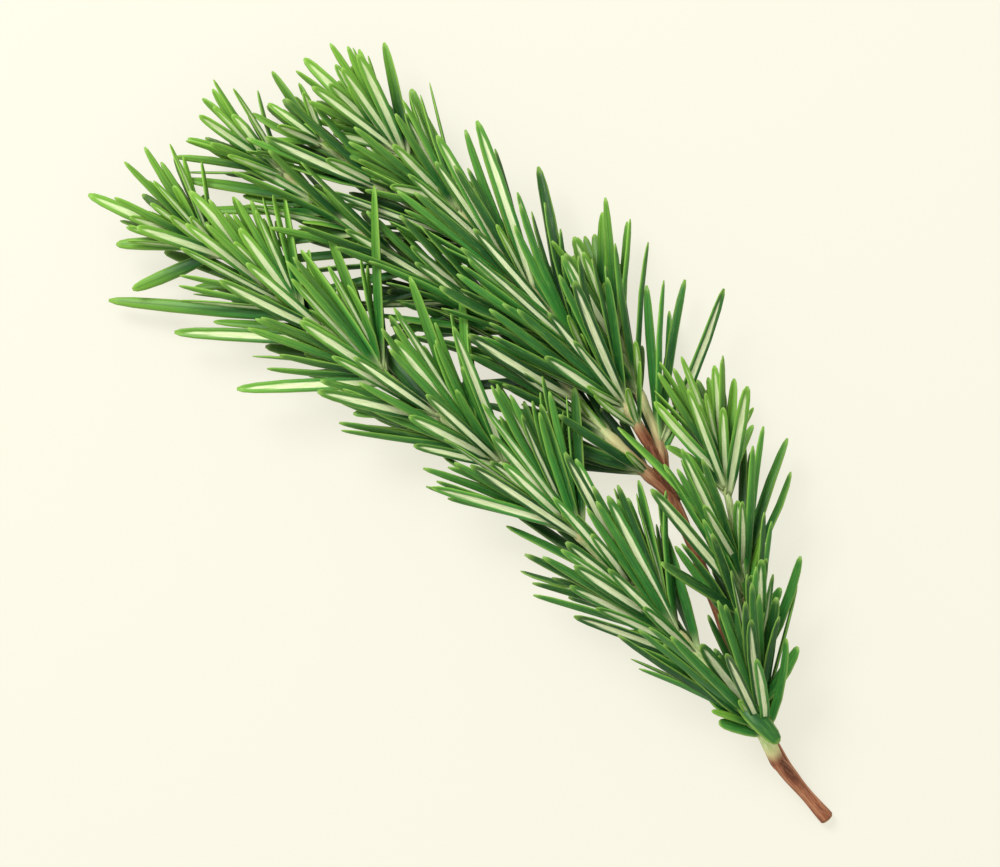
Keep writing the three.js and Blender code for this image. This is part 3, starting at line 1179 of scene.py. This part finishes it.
@dataclass(frozen=True)
class LeafRule:
    """A way to grow leaves on a stem, each where what is placed leaves it room."""

    seed_step: int = 0
    width: float = 2.9
    own_room: float = 2.1
    other_room: float = 2.9

    def plans(self, stem: Stem, draw: SeededDraw) -> Iterator[Iterable[LeafPlan]]:
        """Plan a stem's leaves in the order that they grow, with the tries for each."""
        raise NotImplementedError

    def choose(self, stem: Stem, tries: Iterable[LeafPlan], room: ClearRoom) -> Leaf | None:
        """Take the first try that has room.

        Args:
            stem: The stem.
            tries: The plans to try.
            room: What is placed already.

        Returns:
            The leaf, or None where no try has room.
        """
        for plan in tries:
            leaf = stem.leaf(plan)
            own, other = room.around(leaf, stem.owner)
            if other > self.other_room and own > self.own_room:
                return leaf
        return None

    def grow(self, stem: Stem, room: ClearRoom) -> list[Leaf]:
        """Grow the leaves of one stem.

        Args:
            stem: The stem.
            room: What is placed already, which the new leaves are added to.

        Returns:
            The leaves that found room.
        """
        draw = SeededDraw(stem.shoot.seed + self.seed_step)
        leaves = []
        for tries in self.plans(stem, draw):
            leaf = self.choose(stem, tries, room)
            if leaf:
                leaves.append(leaf)
                room.claim_leaf(leaf, stem.owner)
        return leaves


@dataclass(frozen=True)
class PairRule(LeafRule):
    """The leaves that the solid model also has: pairs with tufts, and a crown."""

    tuft_lead: float = 1.2
    tuft_fan: float = 38.0
    tuft_length_share: float = 0.86
    tuft_width_share: float = 0.78
    pair_splay: float = 28.0
    tuft_splay: float = 19.0
    crown_leaves: int = 7
    crown_length_share: float = 0.52
    crown_splay: float = 14.0
    azimuth_sway: float = 16.0
    splay_sway: float = 11.0
    bow_sway: float = 9.0
    roll_sway: float = 20.0
    length_share_lost: float = 0.18
    seen_leaf_sway: float = 0.3
    tries: int = 14
    widen_per_try: float = 0.12
    shorten_per_try: float = 0.03

    def plans(self, stem: Stem, draw: SeededDraw) -> Iterator[Iterable[LeafPlan]]:
        """Plan the leaves that stand out, and then those that grow by rule."""
        for plan in (*self._seen(stem), *self._by_rule(stem)):
            yield self._swayed(plan, draw)

    def _seen(self, stem: Stem) -> Iterator[LeafPlan]:
        """Plan the leaves that stand out.

        Args:
            stem: The stem.

        Yields:
            The plans.
        """
        for distance, length, turn, rise, roll in stem.shoot.seen:
            yield LeafPlan(distance, *heading(turn, rise), length, self.width, roll,
                           sway=self.seen_leaf_sway)

    def _by_rule(self, stem: Stem) -> Iterator[LeafPlan]:
        """Plan pairs with tufts beside their leaves, and then a crown.

        Args:
            stem: The stem.

        Yields:
            The plans.
        """
        narrow = self.width * self.tuft_width_share
        *pairs, (_, crown_azimuth) = stem.pairs()
        for distance, azimuth in pairs:
            length = stem.leaf_length_at(distance)
            for side in (azimuth, azimuth + 180):
                yield LeafPlan(distance, side, self.pair_splay, length, self.width)
                for i in range(stem.shoot.tuft):
                    spread = 2 * i / (stem.shoot.tuft - 1) - 1
                    yield LeafPlan(distance + self.tuft_lead, side + self.tuft_fan * spread,
                                   self.tuft_splay, length * self.tuft_length_share, narrow)
        for i in range(self.crown_leaves):
            yield LeafPlan(stem.line.length - stem.crown_depth,
                           crown_azimuth + 360 * i / self.crown_leaves, self.crown_splay,
                           stem.leaf_length * self.crown_length_share, narrow)

    def _swayed(self, plan: LeafPlan, draw: SeededDraw) -> Iterator[LeafPlan]:
        """Sway a plan, further with each try.

        Args:
            plan: The leaf's plan.
            draw: The stem's random numbers.

        Yields:
            The swayed plans.
        """
        for k in range(self.tries):
            reach = plan.sway + self.widen_per_try * k
            yield replace(
                plan,
                azimuth=plan.azimuth + self.azimuth_sway * draw.sway(reach),
                splay=abs(plan.splay + self.splay_sway * draw.sway(reach)),
                bow=self.bow_sway * draw.sway(reach),
                roll=plan.roll + self.roll_sway * draw.sway(reach),
                length=(plan.length * (1 - self.length_share_lost * plan.sway * draw())
                        * (1 - self.shorten_per_try * k)))

    def choose(self, stem: Stem, tries: Iterable[LeafPlan], room: ClearRoom) -> Leaf | None:
        """Take the first try that has room, or else the one with the most.

        Every try is drawn, so that one leaf's luck doesn't change the next one's numbers.

        Args:
            stem: The stem.
            tries: The plans to try.
            room: What is placed already.

        Returns:
            The leaf, or None where no try clears the other shoots.
        """
        best, best_own = None, -math.inf
        for plan in tries:
            if best_own >= self.own_room:
                continue
            leaf = stem.leaf(plan)
            own, other = room.around(leaf, stem.owner)
            if other >= self.other_room and own > best_own:
                best, best_own = leaf, own
        return best


@dataclass(frozen=True)
class FanRule(LeafRule):
    """Fine leaves that stand side by side at each node, like the teeth of a comb.

    Inner is the tooth beside the stem, and outer is the one that opens furthest. Tilt is
    how far a leaf's upper face leans outwards, and felt is how often that face is the felt.
    """

    seed_step: int = 700
    width: float = 2.05
    own_room: float = 0.8
    other_room: float = 1.3
    count_share: float = 1.0
    lead_low: float = 0.56
    lead_high: float = 2.24
    turn_inner: float = 8.0
    turn_share: float = 1.0
    turn_sway: float = 1.5
    rise_inner: float = 21.0
    rise_outer: float = -2.0
    rise_sway: float = 2.6
    length_low: float = 0.86
    length_high: float = 1.04
    outer_share: float = 0.88
    tip_width_share: float = 0.82
    bow: float = 4.0
    bow_sway: float = 8.0
    tilt_inner: float = 8.0
    tilt_outer: float = 56.0
    tilt_sway: float = 22.0
    felt_inner: float = 0.24
    felt_outer: float = 0.03
    # Painted shade laid on the fan's leaves.
    shade: float = 0.0
    tries: int = 7
    widen_per_try: float = 0.5
    shorten_per_try: float = 0.04

    def plans(self, stem: Stem, draw: SeededDraw) -> Iterator[Iterable[LeafPlan]]:
        """Plan the fans on both sides of each node, from the inner tooth to the outer one.

        Args:
            stem: The stem.
            draw: The stem's random numbers.

        Yields:
            The tries for each leaf.
        """
        for distance in stem.shown_nodes():
            for hand, full_count, widest in zip((1, -1), stem.shoot.fans, stem.shoot.fan_turns):
                count = max(1, round(full_count * self.count_share))
                for i in range(count):
                    yield self._tooth(stem, distance, hand * widest, (i + 0.5) / count, draw)

    def _tooth(self, stem: Stem, distance: float, widest: float, place: float,
               draw: SeededDraw) -> Iterator[LeafPlan]:
        """Plan one leaf of a fan, with a wider sway at each try.

        Args:
            stem: The stem.
            distance: The node's distance along it.
            widest: The turn of the outer leaf, to the left.
            place: The leaf's place in the fan, from 0 beside the stem to 1.
            draw: The stem's random numbers.

        Yields:
            The plans.
        """
        age = distance / stem.line.length
        hand = math.copysign(1, widest)
        length = stem.leaf_length_at(distance) * mix(1, self.outer_share, place)
        length *= draw.between(self.length_low, self.length_high)
        tilt = mix(self.tilt_inner, self.tilt_outer, place) + draw.sway(self.tilt_sway)
        felt_up = draw() < mix(self.felt_inner, self.felt_outer, place)
        out = -hand * tilt + (0 if felt_up else 180)
        turn = mix(hand * self.turn_inner, widest * self.turn_share, place)
        rise = mix(self.rise_inner, self.rise_outer, place)
        root = distance + draw.between(self.lead_low, self.lead_high)
        width = self.width * mix(1, self.tip_width_share, age)
        for k in range(self.tries):
            wide = 1 + self.widen_per_try * k
            azimuth, splay = heading(turn + draw.sway(self.turn_sway * wide),
                                     rise + draw.sway(self.rise_sway * wide))
            yield LeafPlan(root, azimuth, splay, length * (1 - self.shorten_per_try * k), width,
                           azimuth - out, self.bow + draw.sway(self.bow_sway), youth=age,
                           shade=self.shade, posed=True)


# The lower fan hangs under the stems, with strong painted shade.
UNDER_FAN = FanRule(
    seed_step=900, count_share=0.7, lead_low=0.32, lead_high=1.28, turn_inner=4.0,
    turn_share=0.8, rise_inner=-7.0, rise_outer=-16.0, length_low=0.55, length_high=0.85,
    tilt_inner=30.0, tilt_outer=50.0, felt_inner=0.1, shade=0.85, own_room=0.9)


@dataclass(frozen=True)
class YoungLeafRule(LeafRule):
    """Short young leaves that fill each node and the crown of a stem."""

    seed_step: int = 500
    width: float = 1.6
    own_room: float = 0.85
    other_room: float = 1.5
    each_node: int = 7
    in_crown: int = 16
    lead: float = 0.8
    shortest: float = 5.0
    longest: float = 14.0
    splay_low: float = 10.0
    splay_high: float = 48.0
    crown_splay: float = 34.0
    bow: float = 12.0

    def plans(self, stem: Stem, draw: SeededDraw) -> Iterator[Iterable[LeafPlan]]:
        """Plan the young leaves, with one try for each.

        Args:
            stem: The stem.
            draw: The stem's random numbers.

        Yields:
            One plan in a list for each leaf.
        """
        roots = [(distance + self.lead, self.each_node, self.splay_high)
                 for distance in (*stem.shown_nodes(), *stem.shoot.buds)]
        roots.append((stem.line.length - stem.crown_depth, self.in_crown, self.crown_splay))
        for distance, count, widest in roots:
            for i in range(count):
                azimuth = 360 * (i + draw()) / count
                splay = draw.between(self.splay_low, widest)
                bow = draw.sway(self.bow)
                length = draw.between(self.shortest, self.longest)
                yield [LeafPlan(distance, azimuth, splay, length, self.width, bow=bow, youth=1.0)]


@dataclass
class LeafyShoot:
    """One leafy shoot: its green stems and all their leaves."""

    name: str
    number: int
    shoots: tuple[Shoot, ...]
    pair_rule: LeafRule = PairRule()
    fine_rules: tuple[LeafRule, ...] = (FanRule(), UNDER_FAN, YoungLeafRule())
    turned: float = 14.0
    levelled: float = 0.6
    twist: float = 22.0
    # Painted shade on leaves that hang down, and the most of it.
    hang_shade: float = 2.2
    low_shade: float = 0.85

    def __post_init__(self) -> None:
        """Draw the stems."""
        self.stems = [Stem(shoot, self.number) for shoot in self.shoots]
        self.leaves: list[Leaf] = []
        self.fine_leaves: list[Leaf] = []

    def claim_stems(self, room: ClearRoom) -> None:
        """Mark the green stems as taken room."""
        for stem in self.stems:
            room.claim_stem(stem.line, stem.radius, self.number)

    def grow_leaves(self, room: ClearRoom) -> None:
        """Grow the leaves that the solid model also has."""
        for stem in self.stems:
            self.leaves += self.pair_rule.grow(stem, room)

    def grow_fine_leaves(self, room: ClearRoom) -> None:
        """Fill the nodes and crowns with fans and young leaves, and add single leaves.

        Args:
            room: What is placed already, which the fans and young leaves are added to.
        """
        for stem in self.stems:
            for rule in self.fine_rules:
                self.fine_leaves += rule.grow(stem, room)
            for distance, length, width, turn, rise, bow, shade in stem.shoot.extra:
                self.leaves.append(stem.leaf(LeafPlan(
                    distance, *heading(turn, rise), length, width, bow=bow, shade=shade)))

    def _add_leaves(self, ending: str, shape: LeafShape, leaves: Sequence[Leaf], seed: int,
                    finish: bpy.types.Material) -> bpy.types.Object:
        """Turn and twist leaves a little, lay painted shade on those that lie or hang low, and
        build them.

        Args:
            ending: The end of the piece's name.
            shape: The leaves' form.
            leaves: The leaves.
            seed: The seed of their turns and tones.
            finish: Their material.

        Returns:
            The piece.
        """
        draw = SeededDraw(seed)
        for leaf in leaves:
            leaf.turned = draw.sway(self.turned)
            if not leaf.posed:
                leaf.turned += self.levelled * leaf.turn_to_level()
            leaf.twist = draw.sway(self.twist)
            # Painted shade: leaves that hang down, and the older leaves of a shaded shoot, are
            # darkened.
            drop = float((leaf.base[2] - leaf.tip[2]) / np.linalg.norm(leaf.tip - leaf.base))
            leaf.shade = max(leaf.shade, clip(drop * self.hang_shade) * self.low_shade,
                             self.shoots[0].shade * (1 - leaf.youth))
        name = self.name + ending
        return add_piece(name, shape.build(name, leaves, seed), finish)

    def build(self, leaf_finish: bpy.types.Material, stem_finish: bpy.types.Material) -> None:
        """Build the shoot's pieces.

        Args:
            leaf_finish: The leaves' material.
            stem_finish: The green stems' material.
        """
        seed = self.shoots[0].seed
        leaves = self._add_leaves("_leaves", LeafShape(), self.leaves, seed, leaf_finish)
        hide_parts(self.name)
        self._add_leaves("_fine_leaves", FINE_LEAF, self.fine_leaves, seed + 1, leaf_finish)
        name = self.name + "_stem"
        stems = [stem.build(name) for stem in self.stems]
        add_piece(name, join_meshes(name, stems), stem_finish)


@dataclass
class Wood:
    """The woody stem: a short trunk with its cut end, and a brown limb.

    Each row of ridges gives how many ridges there are round the bark, their share of its
    relief, and how far they follow its drift.
    """

    number: int = 0
    trunk_line: tuple[Point, ...] = ((-96, 10.6, 1.34), (-89, 9.5, 2.4), (-82, 8.4, 4.9))
    limb_line: tuple[Point, ...] = (
        (-90, 9.6, 2.3), (-83, 7.8, 3.0), (-76, 5.2, 3.7), (-66, -0.2, 4.8), (-55, -6.2, 5.8),
        (-45, -11.6, 6.4), (-35, -16.8, 6.8), (-27, -20.6, 7.2),
    )
    cut_end_radius: float = 1.35
    limb_radius: float = 1.15
    limb_end_radius: float = 1.0
    limb_taper: float = 0.72
    limb_taper_length: float = 4.0
    bark_swell: float = 0.07
    bark_swell_pitch: float = 11.0
    sides: int = 40
    step: float = 0.35
    relief: float = 0.025
    ridges: tuple[tuple[int, float, float], ...] = ((5, 1.0, 1.0), (9, 0.6, -2.0))
    drift: float = 0.4
    drift_length: float = 6.0
    fine_ridges: tuple[int, float] = (14, 0.5)
    fine_ridge_length: float = 2.5
    cut_face: float = 0.25
    cut_depth: float = 0.6
    cut_share: float = 0.9
    cut_edge_share: float = 0.96

    def __post_init__(self) -> None:
        """Draw the two lines."""
        self.trunk = StemLine(self.trunk_line)
        self.limb = StemLine(self.limb_line)

    def _swell(self, distance: float) -> float:
        """Give the bark's slow swelling at a distance."""
        return 1 + self.bark_swell * math.cos(2 * math.pi * distance / self.bark_swell_pitch)

    def trunk_radius(self, distance: float) -> float:
        """Give the trunk's radius at a distance."""
        return self.cut_end_radius * self._swell(distance) / self._swell(0)

    def limb_radius_at(self, distance: float) -> float:
        """Give the limb's radius at a distance."""
        share = distance / self.limb.length
        return mix(self.limb_radius, self.limb_end_radius, share) * self._swell(distance)

    def _visible_limb_radius(self, distance: float) -> float:
        """Give the limb's radius with its foot narrowed, so that it springs from the trunk."""
        grown = clip(distance / self.limb_taper_length)
        return self.limb_radius_at(distance) * mix(self.limb_taper, 1, grown)

    def claim(self, room: ClearRoom) -> None:
        """Mark the wood as taken room."""
        room.claim_stem(self.trunk, self.trunk_radius, self.number)
        room.claim_stem(self.limb, self.limb_radius_at, self.number)

    def _bark(self, name: str, line: StemLine,
              radius_at: Callable[[float], float]) -> bpy.types.Mesh:
        """Build ridged bark along a line.

        Args:
            name: The mesh's name.
            line: The line.
            radius_at: Gives the plain radius at a distance.

        Returns:
            The mesh.
        """
        def radii(distance: float, turns: Array) -> Array:
            """Add the ridges to the plain radius.

            Args:
                distance: The distance along the line.
                turns: The turns round it.

            Returns:
                The radius at each turn.
            """
            drift = self.drift * math.sin(distance / self.drift_length)
            relief = sum(share * np.sin(count * turns + follow * drift)
                         for count, share, follow in self.ridges)
            count, share = self.fine_ridges
            relief += share * np.sin(count * turns + distance / self.fine_ridge_length)
            return radius_at(distance) * (1 + self.relief * relief)

        return sweep(name, line, self.sides, self.step, radii)[0]

    def _cut_radii(self, distance: float, turns: Array) -> Array:
        """Give the cut wood's radii, which are a little less at its face."""
        edge = self.cut_edge_share if distance < -self.cut_face / 2 else 1.0
        return np.full(len(turns), self.trunk_radius(0) * self.cut_share * edge)

    def build(self, bark_finish: bpy.types.Material, cut_finish: bpy.types.Material) -> None:
        """Build the bark and the cut end.

        Args:
            bark_finish: The bark's material.
            cut_finish: The cut wood's material.
        """
        skins = [self._bark("trunk", self.trunk, self.trunk_radius),
                 self._bark("limb", self.limb, self._visible_limb_radius)]
        bark = add_piece("bark", join_meshes("bark", skins), bark_finish)
        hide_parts("woody_stem")
        cut, _ = sweep("cut_end", self.trunk, self.sides, self.cut_face / 2, self._cut_radii,
                       start=self.cut_face, end=self.cut_depth - self.trunk.length)
        middle = self.trunk.at(-self.cut_face)
        offset = read_points(cut) / MM - CENTRE_SHIFT - middle.point
        offset -= np.outer(offset @ middle.along, middle.along)
        rings = np.linalg.norm(offset, axis=1) / self.cut_end_radius
        set_values(cut, PointValue.RING, rings)
        add_piece("cut_end", cut, cut_finish)


@dataclass(frozen=True)
class Photograph:
    """How the photograph sees the table that the sprig lies on."""

    width_px: float = 1000.0
    height_px: float = 867.0
    mm_per_px: float = 0.18
    datum_px: tuple[float, float] = (460.0, 435.0)
    turn: float = 40.0
    focus_height: float = 8.0
    lens_mm: float = 100.0
    sensor_mm: float = 36.0
    nearest_m: float = 0.01

    def add_camera(self) -> None:
        """Add the camera, straight above the middle of the picture."""
        c, s = math.cos(math.radians(self.turn)), math.sin(math.radians(self.turn))
        right, up = Vector((-c, -s, 0)), Vector((s, -c, 0))
        across = (self.width_px / 2 - self.datum_px[0]) * self.mm_per_px
        above = (self.datum_px[1] - self.height_px / 2) * self.mm_per_px
        place = Vector(CENTRE_SHIFT) + right * across + up * above
        place.z = self.focus_height + self.width_px * self.mm_per_px * self.lens_mm / self.sensor_mm
        data = bpy.data.cameras.new("camera")
        data.lens = self.lens_mm
        data.sensor_width = self.sensor_mm
        data.clip_start = self.nearest_m
        camera = add_object("camera", data)
        turn = Matrix((right, up, right.cross(up))).transposed().to_4x4()
        camera.matrix_world = Matrix.Translation(place * MM) @ turn
        bpy.context.scene.camera = camera


@dataclass(frozen=True)
class Studio:
    """A plain pale floor and soft light, in metres."""

    floor_size: float = 6.0
    floor: Colour = linear(251, 248, 231)
    floor_albedo: Colour = linear(103, 102, 94)
    floor_glow: float = 0.75
    floor_roughness: float = 0.9
    dome: Colour = (1.0, 0.985, 0.94, 1.0)
    dome_strength: float = 0.9
    softbox_power: float = 6.0
    softbox_size: float = 0.30
    softbox_place: Point = (0.46, -0.10, 0.56)

    def add_floor(self) -> None:
        """Add the floor."""
        sheet = bmesh.new()
        bmesh.ops.create_grid(sheet, x_segments=1, y_segments=1, size=self.floor_size / 2)
        mesh = to_mesh("floor", sheet)
        mesh.materials.append(NodeMaker("floor").finish(
            Base_Color=self.floor_albedo, Roughness=self.floor_roughness,
            Emission_Color=self.floor, Emission_Strength=self.floor_glow))
        add_object("floor", mesh)

    def add_lights(self) -> None:
        """Add the dome and the softbox."""
        world = bpy.data.worlds.new("studio")
        world.use_nodes = True
        background = world.node_tree.nodes["Background"]
        background.inputs["Color"].default_value = self.dome
        background.inputs["Strength"].default_value = self.dome_strength
        bpy.context.scene.world = world
        data = bpy.data.lights.new("softbox", "AREA")
        data.shape = "SQUARE"
        data.size = self.softbox_size
        data.energy = self.softbox_power
        place = Vector(self.softbox_place)
        aim = (-place).to_track_quat("-Z", "Y").to_matrix().to_4x4()
        add_object("softbox", data).matrix_world = Matrix.Translation(place) @ aim


FRONT_SHOOT = Shoot(
    seed=11, radius=1.25, first_pair=6, azimuth=45, tuft=4, fans=(7, 14),
    fan_turns=(33.0, 44.0), nodes=(8, 30, 56, 78, 100, 120, 139), woody=6.0,
    extra=((15.5, 11, 4.4, 179, 24, 30, 0), (12, 19, 3.2, 0, 20, 6, 0)),
    line=((-82.4, 8.5, 4.7), (-71.5, 4.4, 8.8), (-54, 2.7, 10.0), (-28, -0.2, 10.4),
          (-8, -0.8, 10.4), (15, 0.5, 10.2), (36, 1.5, 9.6), (60, 3.2, 8.8)),
    seen=((7, 10, 35, 14, 20), (12, 21, -27, 14, 0), (12, 24, -44, 10, 0), (12, 22, -59, 8, 20),
          (31, 30, -19, 16, 25), (33, 26, 7, 15, -10), (35, 27, 11, 20, -10),
          (31, 22, 23, 8, -40), (34, 28, -33, 6, 0), (55, 26, 12, 18, 0), (57, 24, -30, 10, 0),
          (56, 28, -42, 2, 0), (58, 29, -20, 10, 0), (76, 19, 12, 20, -10),
          (81, 25, -15, 18, 15), (83, 32, -36, 10, 0), (82, 27, -48, -2, 0),
          (84, 28, -26, 4, 0), (100, 21, 3, 20, 0), (100, 29, 38, 1, -75), (102, 34, -48, 8, 0),
          (103, 26, -34, 2, 0), (112, 30, 36, -3, -80), (119, 37, 34, -6, 80),
          (121, 19, -17, 16, 0), (120, 22, -44, 0, 0), (122, 24, -28, 6, 0),
          (141, 24, 11, 6, -50), (141, 20, 29, 2, 40), (139, 17, 57, -5, 60)))
UPPER_SHOOT = Shoot(
    seed=23, radius=1.0, first_pair=7, azimuth=20, tuft=3, fans=(7, 5),
    nodes=(7, 17, 34, 52, 70), buds=(2.5,),
    line=((-26.6, -20.8, 7.4), (-19.5, -23.0, 8.6), (-10.8, -24.6, 10.2), (-1.6, -26.2, 10.8),
          (7, -27.9, 10.8), (25.6, -30.4, 9.8), (48, -32.7, 8.8)),
    seen=((6, 21, 17, 18, 0), (13, 21, 30, 10, 0), (26, 22, 14, 18, 0), (34, 33, -20, 12, 30),
          (59, 19, -32, 6, 0), (67, 22, -32, 4, 0), (74, 20, 3, 4, 0), (74, 15, -8, 8, 0)))
UPPER_SIDE_SHOOT = Shoot(
    seed=37, radius=0.8, first_pair=8, azimuth=70, tuft=2,
    line=((13, -28.9, 10.4), (25, -27.2, 8.8), (34, -26, 8.2), (44, -24.8, 8), (54, -24, 8.1)))
# The middle shoot lies under the others: its older leaves and its extra leaves carry painted shade.
MIDDLE_SHOOT = Shoot(
    seed=51, radius=1.05, first_pair=6, azimuth=50, tuft=3, fans=(9, 7),
    fan_turns=(42.0, 34.0), nodes=(5, 14, 28, 40, 51, 63, 74, 90), woody=24.0, shade=0.4,
    extra=((80, 24, 2.5, 36, 0, 6, 0.2), (74, 26, 2.5, 44, -2, 6, 0.4),
           (68, 25, 2.4, 38, -2, 6, 0.5), (62, 25, 2.4, 45, -3, 6, 0.6),
           (57, 23, 2.3, 50, -3, 6, 0.6), (50, 22, 2.3, 54, -3, 8, 0.6),
           (28, 24, 2.4, 55, -2, 8, 0.6), (20, 24, 2.4, 57, -2, 8, 0.6)),
    line=((-36, -16.3, 6.8), (-27, -16.6, 6.8), (-17, -17.4, 6.6), (-8, -19.4, 6.4),
          (0.5, -20.8, 6.2), (9, -20.2, 6.2), (20, -18.3, 6.4), (37, -16.2, 6.6),
          (61, -15.2, 7.1)),
    seen=((45, 25, -10, 16, 0), (84, 25, 29, 2, 0), (86, 29, 25, 4, 0), (89, 24, 12, 6, 0),
          (93, 18, -22, 6, 0)))
RIGHT_SHOOT = Shoot(
    seed=73, radius=0.9, first_pair=7, azimuth=60, tuft=3, fans=(3, 2), nodes=(5, 16, 27),
    buds=(2,), woody=22.0,
    line=((-34, -17.4, 6.6), (-28, -22.4, 5.9), (-20, -26.6, 5.8), (-12, -30.8, 6.0),
          (-3, -36, 6.4)),
    seen=((27, 21, 13, 6, 0), (29, 23, 3, 8, 0), (31, 13, -21, 8, 0)))
OUTER_SHOOT = Shoot(
    seed=91, radius=0.95, first_pair=7, azimuth=30, tuft=3, fans=(6, 3),
    fan_turns=(30.0, 16.0), nodes=(9, 20, 43), woody=8.0,
    extra=((28, 32, 2.8, 33, 4, 6, 0),),
    line=((-72.2, 3.1, 4.2), (-67.9, -2.3, 6.8), (-60.5, -8.5, 9.0), (-54.4, -13.9, 9.6),
          (-47.3, -19.8, 9.4), (-40.9, -24.9, 8.8), (-37.5, -27.5, 8.4)),
    seen=((17, 28, 42, 10, 0), (20, 30, 32, 16, 0), (28, 22, 15, 10, 0), (22, 17, -1, 14, 0),
          (43, 28, 28, 6, 0), (43, 23, 19, -2, 0), (43, 22, 12, 8, 0), (43, 28, 2, -3, 0),
          (43, 18, -15, 0, 0), (13, 11, -40, 0, 0)))
SHOOTS = {
    "front_shoot": (FRONT_SHOOT,),
    "upper_shoot": (UPPER_SHOOT, UPPER_SIDE_SHOOT),
    "middle_shoot": (MIDDLE_SHOOT,),
    "right_shoot": (RIGHT_SHOOT,),
    "outer_shoot": (OUTER_SHOOT,),
}


def main() -> None:
    """Build the sprig and its studio."""
    logging.basicConfig(level=logging.INFO, format="%(name)s: %(message)s")
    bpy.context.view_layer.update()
    wood = Wood()
    shoots = [LeafyShoot(name, i, stems) for i, (name, stems) in enumerate(SHOOTS.items(), 1)]
    room = ClearRoom()
    wood.claim(room)
    for shoot in shoots:
        shoot.claim_stems(room)
    for shoot in shoots:
        shoot.grow_leaves(room)
    for shoot in shoots:
        shoot.grow_fine_leaves(room)
        LOG.info("%s: %d leaves and %d fine leaves", shoot.name, len(shoot.leaves),
                 len(shoot.fine_leaves))
    leaf_finish = LeafFinish().material()
    stem_finish = StemFinish().material()
    wood.build(BarkFinish().material(), CutFinish().material())
    for shoot in shoots:
        shoot.build(leaf_finish, stem_finish)
    Photograph().add_camera()
    studio = Studio()
    studio.add_floor()
    studio.add_lights()
    bpy.context.scene.view_settings.view_transform = "Standard"


if __name__ == "__main__":
    main()
